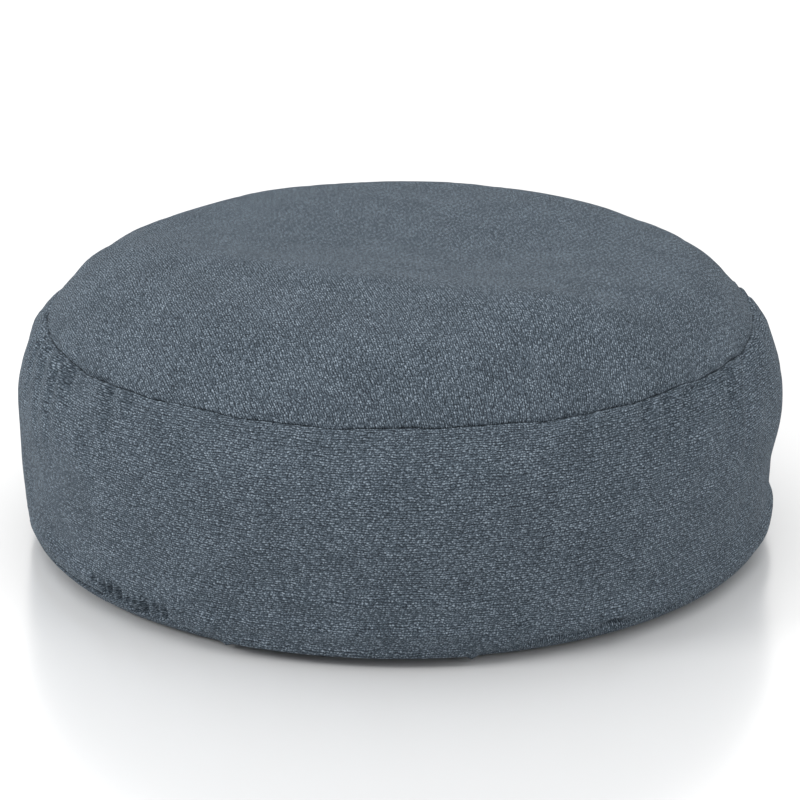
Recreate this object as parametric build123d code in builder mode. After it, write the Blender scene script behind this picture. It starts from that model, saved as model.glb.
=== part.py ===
import os
from math import atan, cos, degrees, radians, sin

from build123d import *

# Round floor cushion: a sewn outer cover with a curved zip in its bottom seam, round a liner bag
# that holds the beads.  Millimetres, +Z up, origin at the centre of the base, front towards -Y.

# ---- driving dimensions: the filled cover ----
cover_radius = 300.0
cover_height = 240.0
base_edge_radius = 25.0         # roll between the base and the upright band
shoulder_height = 120.0         # the band stands upright up to here
shoulder_radius = 98.0          # then leans in over the beads
shoulder_turn = 36.3            # degrees, from upright to the top seam
crown_edge_radius = 130.0       # tighter outer ring of the crowned top
bottom_seam_dip = 25.0          # degrees below the widest point of the base roll
flat_reach = 250.0              # the base panel is one flat disc out to here

# ---- cloth and sewing ----
cloth = 1.2                     # heavy bouclé weave
ply_gap = 0.1                   # air between two plies that lie on each other
allowance = 12.0                # turned-in edge of a seam
fold_height = 1.2               # how far the top panel wraps over the band's turned edge
seam_slit = 0.15                # half the slit between the two plies of a plain seam
thread_width = 0.6
thread_proud = 0.15             # thread standing off the cloth it crosses
stitch_row = 1.6                # from the seam line to its row of stitches
overlock_width = 5.0
overlock_thick = 0.4
join_angle = 52.0               # degrees, where the ends of the band strip are sewn together
join_gap = 0.2                  # slit between those ends
join_margin = 2.0
seam_end = 0.3                  # degrees, where a row of stitches starts inside its seam

# ---- curved zip in the bottom seam ----
zip_start = 64.0                # degrees about +Z from +X, the closed end
zip_end = 218.5
tape_over = 2.5                 # degrees of tape past each end of the coils
lip = 2.5                       # half the slit between the two turned cloth edges
hem = 12.0
chain_gap = 0.4                 # half the gap between the two coils
coil_width = 2.5
coil_depth = 4.8                # below the cloth's outer face
coil_thick = 2.2
tape_depth = 7.1
tape_thick = 0.5
tape_flat = 5.4                 # half-width of the flat stretch under the slider
tape_ramp_end = 10.0            # where the tape meets the turned cloth edge
tape_half_width = 16.0
tape_row = 12.0                 # row of stitches that holds the tape
stop_length = 3.0

# ---- zip slider and pull ----
slider_angle = 66.2             # degrees, parked at the closed end
slider_length = 13.0
slider_width = 9.2
slider_plate = 1.2
slider_corner = 2.0
slider_top_depth = 3.3
slider_base_depth = 8.5
flange_width = 1.2
flange_end_depth = 6.9
web_width = 0.5
web_length = 2.6
bridge_width = 3.0
bridge_length = 9.0
bridge_wall = 1.2
bridge_top = 4.2                # above the cloth's outer face
pivot_height = 2.0
pull_thick = 1.6
pull_length = 21.0
pull_width = 7.0
eye_end = 5.4
eye_half_width = 1.9
pull_taper = 1.0
thumb_hole_radius = 1.6

# ---- liner and fill ----
liner_inset = 4.6               # inside the cover's outer face
liner_base = 5.5
liner_edge_radius = 42.0
liner_cloth = 0.5
liner_allowance = 10.0
liner_seam_turn = 45.0          # degrees up the base roll
liner_zip_length = 300.0
liner_slot = 5.0                # half the slot in the base panel
liner_hem = 8.0
liner_tape_gap = 0.3
liner_tape_width = 11.0
liner_tape_thick = 0.4
liner_coil_width = 1.9
liner_coil_thick = 1.9
liner_stop_length = 2.5
liner_chain_margin = 4.0
liner_slider_play = 0.35
liner_web_length = 1.6
liner_slider_length = 9.0
liner_slider_width = 8.0
liner_slider_plate = 1.0
liner_slider_rest = 138.0       # parked near the end of the zip, along +X
fill_inset = 6.6
fill_base = 7.6
fill_edge_radius = 40.0
groove_half_width = 5.5
groove_top = 9.0


class Wall:
    """Round profile from the base centre, up the side and over the crown, as one tangent line.

    Stations are distances along it from the base centre, and depth is measured inwards from it.
    """

    def __init__(self, inset, base, edge_radius):
        side = cover_radius - inset
        steep = radians(90 - shoulder_turn)
        seam_radius = cover_radius - shoulder_radius * (1 - sin(steep))
        seam_height = shoulder_height + shoulder_radius * cos(steep)
        reach = seam_radius - crown_edge_radius * sin(steep)
        rise = cover_height - seam_height - crown_edge_radius * (1 - cos(steep))
        cap_turn = 2 * degrees(atan(rise / reach))
        spread = reach / sin(radians(cap_turn))
        cap_radius = crown_edge_radius + spread
        cap_height = cover_height - cap_radius
        crown_edge_height = cap_height + spread * cos(radians(cap_turn))
        self.stretches = []
        self.end = 0.0
        self.add_line((0, base), (side - edge_radius, base), (0, 1))
        self.add_arc((side - edge_radius, base + edge_radius), edge_radius, -90, 90)
        self.add_line((side, base + edge_radius), (side, shoulder_height), (-1, 0))
        self.add_arc((side + inset - shoulder_radius, shoulder_height), shoulder_radius - inset, 0, shoulder_turn)
        self.top_seam = self.end
        crown_turn = 90 - shoulder_turn - cap_turn
        self.add_arc((reach, crown_edge_height), crown_edge_radius - inset, shoulder_turn, crown_turn)
        self.add_arc((0, cap_height), cap_radius - inset, 90 - cap_turn, cap_turn)

    def add_line(self, start, finish, inwards):
        length = (Vector(*finish) - Vector(*start)).length
        self.stretches.append((self.end, length, "line", (start, finish, inwards)))
        self.end += length

    def add_arc(self, centre, radius, start_angle, turn):
        length = radius * radians(turn)
        self.stretches.append((self.end, length, "arc", (centre, radius, start_angle, turn)))
        self.end += length

    def trace(self, depth, low, high):
        """Draws the line between two stations, at a depth, in the current BuildLine."""
        drawn = []
        for start, length, kind, shape in self.stretches:
            first = max(low - start, 0) / length
            last = min(high - start, length) / length
            if (last - first) * length < 0.001:
                continue
            if kind == "line":
                begin, finish, inwards = (Vector(*point) for point in shape)
                run = finish - begin
                begin += inwards * depth
                drawn.append(Line(begin + run * first, begin + run * last))
            else:
                centre, radius, start_angle, turn = shape
                drawn.append(CenterArc(centre, radius - depth, start_angle + turn * first, turn * (last - first)))
        return drawn

    def point(self, depth, station):
        """Radius and height of the point at a station, at a depth."""
        with BuildLine(mode=Mode.PRIVATE):
            edge = self.trace(depth, station, station + 0.01)[0]
        return edge @ 0


def ply(wall, low, high, outer_depth, inner_depth):
    """Section of one layer that lies along a wall between two stations and two depths."""
    with BuildSketch() as face:
        with BuildLine():
            outer = wall.trace(outer_depth, low, high)
            inner = wall.trace(inner_depth, low, high)
            Line(outer[0] @ 0, inner[0] @ 0)
            Line(outer[-1] @ 1, inner[-1] @ 1)
        make_face()
    return face.sketch


def section(angle):
    """Upright half-plane through the cushion's axis, at an angle about it."""
    return Plane(origin=(0, 0, 0), x_dir=(cos(radians(angle)), sin(radians(angle)), 0),
                 z_dir=(sin(radians(angle)), -cos(radians(angle)), 0))


os.makedirs("parts", exist_ok=True)

cover = Wall(0, 0, base_edge_radius)
bottom_seam = cover_radius - base_edge_radius + base_edge_radius * radians(90 - bottom_seam_dip)
top_seam = cover.top_seam
turned = 2 * cloth                      # band and its own turned edge
third_ply = turned + ply_gap            # the other panel's edge lies against that
seam_depth = third_ply + cloth
bottom_edge_end = bottom_seam + lip + hem
zip_bay_start = zip_start - tape_over - 0.5
zip_bay = zip_end + tape_over + 0.5 - zip_bay_start
plain_start = zip_bay_start + zip_bay
plain_seam = 360 - zip_bay


# ---------------------------------------------------------------- outer cover

with BuildPart() as top_panel:
    with BuildSketch(Plane.XZ):
        add(ply(cover, top_seam + seam_slit, cover.end, 0, cloth))
        add(ply(cover, top_seam + seam_slit, top_seam + seam_slit + fold_height, 0, seam_depth))
        add(ply(cover, top_seam - allowance, top_seam + seam_slit + fold_height, third_ply, seam_depth))
    revolve(axis=Axis.Z)
top_panel.part.label = "top_panel"
export_step(top_panel.part, "parts/top_panel.step")

with BuildPart() as side_band:
    with BuildSketch(Plane.XZ):
        add(ply(cover, bottom_seam + lip, top_seam - seam_slit, 0, cloth))
        add(ply(cover, bottom_seam + lip, bottom_edge_end, 0, turned))
        add(ply(cover, top_seam - allowance, top_seam - seam_slit, 0, turned))
    revolve(axis=Axis.Z)
    with BuildSketch(section(plain_start)):
        add(ply(cover, bottom_seam + seam_slit, bottom_seam + lip, 0, turned))
    revolve(axis=Axis.Z, revolution_arc=plain_seam)
    # pressed-open edges of the join, then the slit between its two ends
    join_edge = degrees(allowance / cover_radius)
    with BuildSketch(section(join_angle - join_edge)):
        add(ply(cover, bottom_edge_end + join_margin, top_seam - allowance - join_margin, 0, turned))
    revolve(axis=Axis.Z, revolution_arc=2 * join_edge)
    with BuildSketch(section(join_angle)):
        with Locations((cover_radius, cover_height / 2)):
            Rectangle(cover_radius / 4, cover_height)
    extrude(amount=join_gap / 2, both=True, mode=Mode.SUBTRACT)
side_band.part.label = "side_band"
export_step(side_band.part, "parts/side_band.step")

with BuildPart() as bottom_panel:
    with BuildSketch(Plane.XZ):
        add(ply(cover, 0, flat_reach, 0, cloth))
    revolve(axis=Axis.Z)
    with BuildSketch(section(zip_bay_start)):
        add(ply(cover, flat_reach, bottom_seam - lip, 0, cloth))
        add(ply(cover, bottom_seam - lip - hem, bottom_seam - lip, 0, turned))
    revolve(axis=Axis.Z, revolution_arc=zip_bay)
    with BuildSketch(section(plain_start)):
        add(ply(cover, flat_reach, bottom_seam - seam_slit, 0, cloth))
        add(ply(cover, bottom_seam - seam_slit - fold_height, bottom_seam - seam_slit, 0, seam_depth))
        add(ply(cover, bottom_seam - seam_slit - fold_height, bottom_edge_end, third_ply, seam_depth))
    revolve(axis=Axis.Z, revolution_arc=plain_seam)
bottom_panel.part.label = "bottom_panel"
export_step(bottom_panel.part, "parts/bottom_panel.step")


# ---------------------------------------------------------------- seams of the cover

with BuildPart() as top_seam_thread:
    with BuildSketch(Plane.XZ):
        row = top_seam - stitch_row
        add(ply(cover, row - thread_width / 2, row + thread_width / 2, cloth, seam_depth + thread_proud))
    revolve(axis=Axis.Z)
top_seam_thread.part.label = "top_seam_thread"
export_step(top_seam_thread.part, "parts/top_seam_thread.step")

with BuildPart() as bottom_seam_thread:
    with BuildSketch(section(plain_start + seam_end)):
        row = bottom_seam + stitch_row
        add(ply(cover, row - thread_width / 2, row + thread_width / 2, cloth, seam_depth + thread_proud))
    revolve(axis=Axis.Z, revolution_arc=plain_seam - 2 * seam_end)
bottom_seam_thread.part.label = "bottom_seam_thread"
export_step(bottom_seam_thread.part, "parts/bottom_seam_thread.step")

with BuildPart() as band_join_thread:
    thread_angle = degrees(thread_width / cover_radius)
    with BuildSketch(section(join_angle - thread_angle / 2)):
        add(ply(cover, bottom_edge_end + join_margin, top_seam - allowance - join_margin, thread_proud, turned))
    revolve(axis=Axis.Z, revolution_arc=thread_angle)
band_join_thread.part.label = "band_join_thread"
export_step(band_join_thread.part, "parts/band_join_thread.step")

overlock_depth = seam_depth + ply_gap

with BuildPart() as top_seam_overlock:
    with BuildSketch(Plane.XZ):
        raw_edge = top_seam - allowance - ply_gap
        add(ply(cover, raw_edge - overlock_thick, raw_edge, cloth + ply_gap, overlock_depth + overlock_thick))
        add(ply(cover, raw_edge - overlock_thick, raw_edge + overlock_width, overlock_depth,
                overlock_depth + overlock_thick))
    revolve(axis=Axis.Z)
top_seam_overlock.part.label = "top_seam_overlock"
export_step(top_seam_overlock.part, "parts/top_seam_overlock.step")

with BuildPart() as bottom_seam_overlock:
    with BuildSketch(section(plain_start + seam_end)):
        raw_edge = bottom_edge_end + ply_gap
        add(ply(cover, raw_edge, raw_edge + overlock_thick, cloth + ply_gap, overlock_depth + overlock_thick))
        add(ply(cover, raw_edge - overlock_width, raw_edge + overlock_thick, overlock_depth,
                overlock_depth + overlock_thick))
    revolve(axis=Axis.Z, revolution_arc=plain_seam - 2 * seam_end)
bottom_seam_overlock.part.label = "bottom_seam_overlock"
export_step(bottom_seam_overlock.part, "parts/bottom_seam_overlock.step")


# ---------------------------------------------------------------- zip in the bottom seam

def zip_ply(side, near, far, outer_depth, inner_depth):
    """Section of a layer beside the zip's centre line, on its upper (+1) or lower (-1) side."""
    low, high = sorted((bottom_seam + side * near, bottom_seam + side * far))
    return ply(cover, low, high, outer_depth, inner_depth)


def tape_section(side):
    """Section of one tape: level under the slider, then out to the turned edge it is sewn to."""
    near, bend, meet, far = (
        bottom_seam + side * reach for reach in (chain_gap, tape_flat, tape_ramp_end, tape_half_width)
    )
    with BuildSketch() as face:
        with BuildLine():
            for shift in (0, tape_thick):
                cover.trace(tape_depth + shift, *sorted((near, bend)))
                Line(cover.point(tape_depth + shift, bend), cover.point(third_ply + shift, meet))
                cover.trace(third_ply + shift, *sorted((meet, far)))
            Line(cover.point(tape_depth, near), cover.point(tape_depth + tape_thick, near))
            Line(cover.point(third_ply, far), cover.point(third_ply + tape_thick, far))
        make_face()
    return face.sketch


tape_start = zip_start - tape_over
tape_arc = zip_end - zip_start + 2 * tape_over
stop_arc = degrees(stop_length / cover_radius)
stop_space = degrees(ply_gap / cover_radius)

with BuildPart() as zip_tape_upper:
    with BuildSketch(section(tape_start)):
        add(tape_section(1))
    revolve(axis=Axis.Z, revolution_arc=tape_arc)
zip_tape_upper.part.label = "zip_tape_upper"
export_step(zip_tape_upper.part, "parts/zip_tape_upper.step")

with BuildPart() as zip_tape_lower:
    with BuildSketch(section(tape_start)):
        add(tape_section(-1))
    revolve(axis=Axis.Z, revolution_arc=tape_arc)
zip_tape_lower.part.label = "zip_tape_lower"
export_step(zip_tape_lower.part, "parts/zip_tape_lower.step")

with BuildPart() as zip_coil_upper:
    with BuildSketch(section(zip_start)):
        add(zip_ply(1, chain_gap, chain_gap + coil_width, coil_depth, coil_depth + coil_thick))
    revolve(axis=Axis.Z, revolution_arc=zip_end - zip_start)
zip_coil_upper.part.label = "zip_coil_upper"
export_step(zip_coil_upper.part, "parts/zip_coil_upper.step")

with BuildPart() as zip_coil_lower:
    with BuildSketch(section(zip_start)):
        add(zip_ply(-1, chain_gap, chain_gap + coil_width, coil_depth, coil_depth + coil_thick))
    revolve(axis=Axis.Z, revolution_arc=zip_end - zip_start)
zip_coil_lower.part.label = "zip_coil_lower"
export_step(zip_coil_lower.part, "parts/zip_coil_lower.step")

with BuildPart() as zip_top_stops:
    with BuildSketch(section(zip_start - stop_space - stop_arc)):
        for side in (1, -1):
            add(zip_ply(side, chain_gap, chain_gap + coil_width, coil_depth, coil_depth + coil_thick))
    revolve(axis=Axis.Z, revolution_arc=stop_arc)
zip_top_stops.part.label = "zip_top_stops"
export_step(zip_top_stops.part, "parts/zip_top_stops.step")

with BuildPart() as zip_bottom_stop:
    with BuildSketch(section(zip_end + stop_space)):
        add(ply(cover, bottom_seam - chain_gap - coil_width, bottom_seam + chain_gap + coil_width,
                coil_depth, coil_depth + coil_thick))
    revolve(axis=Axis.Z, revolution_arc=stop_arc)
zip_bottom_stop.part.label = "zip_bottom_stop"
export_step(zip_bottom_stop.part, "parts/zip_bottom_stop.step")

with BuildPart() as zip_stitch_upper:
    with BuildSketch(section(tape_start + seam_end)):
        add(zip_ply(1, tape_row - thread_width / 2, tape_row + thread_width / 2,
                    -thread_proud, third_ply + tape_thick + thread_proud))
    revolve(axis=Axis.Z, revolution_arc=tape_arc - 2 * seam_end)
zip_stitch_upper.part.label = "zip_stitch_upper"
export_step(zip_stitch_upper.part, "parts/zip_stitch_upper.step")

with BuildPart() as zip_stitch_lower:
    with BuildSketch(section(tape_start + seam_end)):
        add(zip_ply(-1, tape_row - thread_width / 2, tape_row + thread_width / 2,
                    -thread_proud, third_ply + tape_thick + thread_proud))
    revolve(axis=Axis.Z, revolution_arc=tape_arc - 2 * seam_end)
zip_stitch_lower.part.label = "zip_stitch_lower"
export_step(zip_stitch_lower.part, "parts/zip_stitch_lower.step")


# ---------------------------------------------------------------- slider and pull of that zip

# the slider's frame: X along the zip, Y up the cloth, Z straight out of the cloth
slider_radius, slider_height = cover.point(0, bottom_seam).X, cover.point(0, bottom_seam).Y
slider_around = Vector(cos(radians(slider_angle)), sin(radians(slider_angle)), 0)
slider_out = slider_around * cos(radians(bottom_seam_dip)) + Vector(0, 0, -sin(radians(bottom_seam_dip)))
slider_along = Vector(0, 0, 1).cross(slider_around)
slider_centre = slider_around * slider_radius + Vector(0, 0, slider_height)
slider_face = Plane(origin=slider_centre, x_dir=slider_along, z_dir=slider_out)
slider_side = Plane(origin=slider_centre, x_dir=slider_along, z_dir=slider_along.cross(slider_out))

with BuildPart() as zip_slider:
    for plate_depth in (slider_top_depth, slider_base_depth):
        with BuildSketch(slider_face.offset(-plate_depth - slider_plate)):
            RectangleRounded(slider_length, slider_width, slider_corner)
        extrude(amount=slider_plate)
    # side flanges that close over the coils, and the web that parts them
    with BuildSketch(slider_face.offset(-flange_end_depth)):
        for side in (1, -1):
            with Locations((0, side * (slider_width - flange_width) / 2)):
                Rectangle(slider_length - 2 * slider_corner, flange_width)
    extrude(amount=flange_end_depth - slider_top_depth)
    with BuildSketch(slider_face.offset(-slider_base_depth)):
        with Locations(((web_length - slider_length) / 2, 0)):
            Rectangle(web_length, web_width)
    extrude(amount=slider_base_depth - slider_top_depth)
    # bridge that stands through the slit and holds the pull
    with BuildSketch(slider_side):
        with Locations((0, (bridge_top - slider_top_depth) / 2)):
            RectangleRounded(bridge_length, bridge_top + slider_top_depth, bridge_wall)
        with Locations((0, (bridge_top - slider_top_depth) / 2 - bridge_wall)):
            Rectangle(bridge_length - 2 * bridge_wall, bridge_top + slider_top_depth, mode=Mode.SUBTRACT)
    extrude(amount=bridge_width / 2, both=True)
    # the bridge's feet reach into the top plate
    with BuildSketch(slider_face.offset(-slider_top_depth - slider_plate / 2)):
        for end in (1, -1):
            with Locations((end * (bridge_length - bridge_wall) / 2, 0)):
                Rectangle(bridge_wall, bridge_width)
    extrude(amount=slider_plate)
zip_slider.part.label = "zip_slider"
export_step(zip_slider.part, "parts/zip_slider.step")

with BuildPart() as zip_pull:
    with BuildSketch(slider_face.offset(pivot_height - pull_thick / 2)):
        with BuildLine():
            tip_width = pull_width / 2 - pull_taper
            Polyline((0, -pull_width / 2), (eye_end + 1, -pull_width / 2), (pull_length, -tip_width),
                     (pull_length, tip_width), (eye_end + 1, pull_width / 2), (0, pull_width / 2), close=True)
        make_face()
        with Locations(((pull_thick / 2 + eye_end) / 2 - 1, 0)):
            Rectangle(eye_end - pull_thick / 2 + 2, 2 * eye_half_width, mode=Mode.SUBTRACT)
        with Locations((pull_length - 2.6 * thumb_hole_radius, 0)):
            Circle(thumb_hole_radius, mode=Mode.SUBTRACT)
    extrude(amount=pull_thick)
    with BuildSketch(slider_side):
        with Locations((0, pivot_height)):
            Circle(pull_thick / 2)
    extrude(amount=pull_width / 2, both=True)
    fillet(zip_pull.part.edges().filter_by(lambda edge: edge.length > pull_thick - 0.01
           and edge.length < pull_thick + 0.01).sort_by(Axis(slider_centre, slider_along))[-2:], pull_taper)
zip_pull.part.label = "zip_pull"
export_step(zip_pull.part, "parts/zip_pull.step")


# ---------------------------------------------------------------- liner bag

liner = Wall(liner_inset, liner_base, liner_edge_radius)
liner_bottom_seam = cover_radius - liner_inset - liner_edge_radius + liner_edge_radius * radians(liner_seam_turn)
liner_turned = 2 * liner_cloth
liner_third_ply = liner_turned + ply_gap
liner_seam_depth = liner_third_ply + liner_cloth
liner_rows = (liner.top_seam - stitch_row, liner_bottom_seam + stitch_row)

with BuildPart() as liner_top_panel:
    with BuildSketch(Plane.XZ):
        fold_start = liner.top_seam + seam_slit
        add(ply(liner, fold_start, liner.end, 0, liner_cloth))
        add(ply(liner, fold_start, fold_start + liner_cloth, 0, liner_seam_depth))
        add(ply(liner, liner.top_seam - liner_allowance, fold_start + liner_cloth, liner_third_ply, liner_seam_depth))
    revolve(axis=Axis.Z)
liner_top_panel.part.label = "liner_top_panel"
export_step(liner_top_panel.part, "parts/liner_top_panel.step")

with BuildPart() as liner_side_band:
    with BuildSketch(Plane.XZ):
        band_low = liner_bottom_seam + seam_slit
        band_high = liner.top_seam - seam_slit
        add(ply(liner, band_low, band_high, 0, liner_cloth))
        add(ply(liner, band_low, liner_bottom_seam + liner_allowance, 0, liner_turned))
        add(ply(liner, liner.top_seam - liner_allowance, band_high, 0, liner_turned))
    revolve(axis=Axis.Z)
liner_side_band.part.label = "liner_side_band"
export_step(liner_side_band.part, "parts/liner_side_band.step")

with BuildPart() as liner_bottom_panel:
    with BuildSketch(Plane.XZ):
        fold_end = liner_bottom_seam - seam_slit
        add(ply(liner, 0, fold_end, 0, liner_cloth))
        add(ply(liner, fold_end - liner_cloth, fold_end, 0, liner_seam_depth))
        add(ply(liner, fold_end - liner_cloth, liner_bottom_seam + liner_allowance, liner_third_ply, liner_seam_depth))
    revolve(axis=Axis.Z)
    # turned edges round the slot for the zip
    with BuildSketch(Plane.XY.offset(liner_base)):
        Rectangle(liner_zip_length + 2 * liner_hem, 2 * (liner_slot + liner_hem))
    extrude(amount=liner_turned)
    with BuildSketch(Plane.XY.offset(liner_base)):
        Rectangle(liner_zip_length, 2 * liner_slot)
    extrude(amount=liner_turned, mode=Mode.SUBTRACT)
liner_bottom_panel.part.label = "liner_bottom_panel"
export_step(liner_bottom_panel.part, "parts/liner_bottom_panel.step")

with BuildPart() as liner_seam_threads:
    for row in liner_rows:
        with BuildSketch(Plane.XZ):
            add(ply(liner, row - thread_width / 2, row + thread_width / 2, liner_cloth, liner_seam_depth))
        revolve(axis=Axis.Z)
liner_seam_threads.part.label = "liner_seam_threads"
export_step(liner_seam_threads.part, "parts/liner_seam_threads.step")


# ---------------------------------------------------------------- zip in the liner's base

liner_tape_height = liner_base + liner_turned + ply_gap
liner_coil_base = liner_tape_height - liner_coil_thick - ply_gap / 2
liner_chain = liner_zip_length - 2 * liner_chain_margin

with BuildPart() as liner_zip_tapes:
    with BuildSketch(Plane.XY.offset(liner_tape_height)):
        for side in (1, -1):
            with Locations((0, side * (liner_tape_gap + liner_tape_width / 2))):
                Rectangle(liner_zip_length + liner_hem, liner_tape_width)
    extrude(amount=liner_tape_thick)
liner_zip_tapes.part.label = "liner_zip_tapes"
export_step(liner_zip_tapes.part, "parts/liner_zip_tapes.step")

with BuildPart() as liner_zip_coils:
    with BuildSketch(Plane.XY.offset(liner_coil_base)):
        for side in (1, -1):
            with Locations((0, side * (liner_tape_gap + liner_coil_width / 2))):
                Rectangle(liner_chain, liner_coil_width)
    extrude(amount=liner_coil_thick)
liner_zip_coils.part.label = "liner_zip_coils"
export_step(liner_zip_coils.part, "parts/liner_zip_coils.step")

with BuildPart() as liner_zip_stops:
    with BuildSketch(Plane.XY.offset(liner_coil_base)):
        for end in (1, -1):
            with Locations((end * (liner_chain / 2 + ply_gap + liner_stop_length / 2), 0)):
                Rectangle(liner_stop_length, 2 * (liner_tape_gap + liner_coil_width))
    extrude(amount=liner_coil_thick)
liner_zip_stops.part.label = "liner_zip_stops"
export_step(liner_zip_stops.part, "parts/liner_zip_stops.step")

with BuildPart() as liner_zip_stitches:
    with BuildSketch(Plane.XY.offset(liner_base - thread_proud)):
        for side in (1, -1):
            with Locations((0, side * (liner_slot + liner_hem / 2))):
                Rectangle(liner_zip_length, thread_width)
    extrude(amount=liner_tape_height + liner_tape_thick - liner_base + 2 * thread_proud)
liner_zip_stitches.part.label = "liner_zip_stitches"
export_step(liner_zip_stitches.part, "parts/liner_zip_stitches.step")

with BuildPart() as liner_zip_slider:
    outer_plate = liner_coil_base - liner_slider_play - liner_slider_plate
    inner_plate = liner_tape_height + liner_tape_thick + liner_slider_play
    for height in (outer_plate, inner_plate):
        with BuildSketch(Plane.XY.offset(height)):
            with Locations((liner_slider_rest, 0)):
                RectangleRounded(liner_slider_length, liner_slider_width, liner_slider_plate)
        extrude(amount=liner_slider_plate)
    flange_base = outer_plate + liner_slider_plate / 2
    with BuildSketch(Plane.XY.offset(flange_base)):
        for side in (1, -1):
            with Locations((liner_slider_rest, side * (liner_slider_width - liner_slider_plate) / 2)):
                Rectangle(liner_slider_length - 2 * liner_slider_plate, liner_slider_plate)
    extrude(amount=liner_tape_height - liner_slider_play - flange_base)
    web_x = liner_slider_rest + (liner_slider_length - liner_web_length) / 2
    with BuildSketch(Plane.XY.offset(flange_base)):
        with Locations((web_x, 0)):
            Rectangle(liner_web_length, liner_tape_gap)
    extrude(amount=inner_plate + liner_slider_plate / 2 - flange_base)
liner_zip_slider.part.label = "liner_zip_slider"
export_step(liner_zip_slider.part, "parts/liner_zip_slider.step")


# ---------------------------------------------------------------- beads

fill = Wall(fill_inset, fill_base, fill_edge_radius)

with BuildPart() as bead_fill:
    with BuildSketch(Plane.XZ):
        with BuildLine():
            skin = fill.trace(0, 0, fill.end)
            Line(skin[-1] @ 1, skin[0] @ 0)
        make_face()
    revolve(axis=Axis.Z)
    # the beads stand back from the liner's zip, so its slider can pass
    with BuildSketch(Plane.XY.offset(fill_base)):
        Rectangle(liner_zip_length, 2 * groove_half_width)
    extrude(amount=groove_top - fill_base, mode=Mode.SUBTRACT)
bead_fill.part.label = "bead_fill"
export_step(bead_fill.part, "parts/bead_fill.step")
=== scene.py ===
import math

import bmesh
import bpy
import numpy as np
from mathutils import Matrix, Vector


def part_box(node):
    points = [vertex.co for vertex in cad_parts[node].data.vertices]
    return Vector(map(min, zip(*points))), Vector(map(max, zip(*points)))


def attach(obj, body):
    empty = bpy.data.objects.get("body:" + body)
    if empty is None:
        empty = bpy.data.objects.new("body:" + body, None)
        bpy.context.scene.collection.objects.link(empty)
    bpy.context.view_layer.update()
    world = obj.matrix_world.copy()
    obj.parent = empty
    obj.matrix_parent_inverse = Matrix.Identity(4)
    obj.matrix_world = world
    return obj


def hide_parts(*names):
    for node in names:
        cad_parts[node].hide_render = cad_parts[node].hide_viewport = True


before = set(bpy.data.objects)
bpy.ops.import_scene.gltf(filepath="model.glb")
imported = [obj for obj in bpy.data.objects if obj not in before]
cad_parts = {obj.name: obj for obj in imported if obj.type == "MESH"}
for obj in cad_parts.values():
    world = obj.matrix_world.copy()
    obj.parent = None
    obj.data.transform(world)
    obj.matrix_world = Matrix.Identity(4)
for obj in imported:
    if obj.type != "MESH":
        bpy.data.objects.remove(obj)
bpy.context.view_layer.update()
mm = 0.001
bpy.context.scene.view_settings.view_transform = "Standard"

# the filled cover's round profile, and how it is cut
cushion = {
    "radius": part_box("bead_fill")[1].x + 6.6 * mm,      # the beads stand 6.6 mm inside the cover
    "height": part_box("top_panel")[1].z,
    "edgeRadius": 25 * mm,          # roll between the base and the band
    "shoulderHeight": 120 * mm,
    "shoulderRadius": 98 * mm,
    "shoulderTurn": 36.3,           # degrees
    "crownEdgeRadius": 130 * mm,
    "seamDip": 25.0,                # degrees, bottom seam below the widest point of the roll
    "cloth": 1.2 * mm,
    "allowance": 12 * mm,
    "joinAz": 142.0,                # where the ends of the band strip meet; 0 is the front, + to the right
    "zipBay": (151.0, -48.5),       # from the back right, round the left, to the front left
    "lip": 1.8 * mm,                # half the slit between the zip's two cloth edges
}


def smooth(x, low, high):
    t = np.clip((x - low) / (high - low), 0, 1)
    return t * t * (3 - 2 * t)


def bump(x, centre, halfWidth):         # 1 at the centre, a third at the half width
    return np.exp(-((x - centre) / halfWidth) ** 2)


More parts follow.
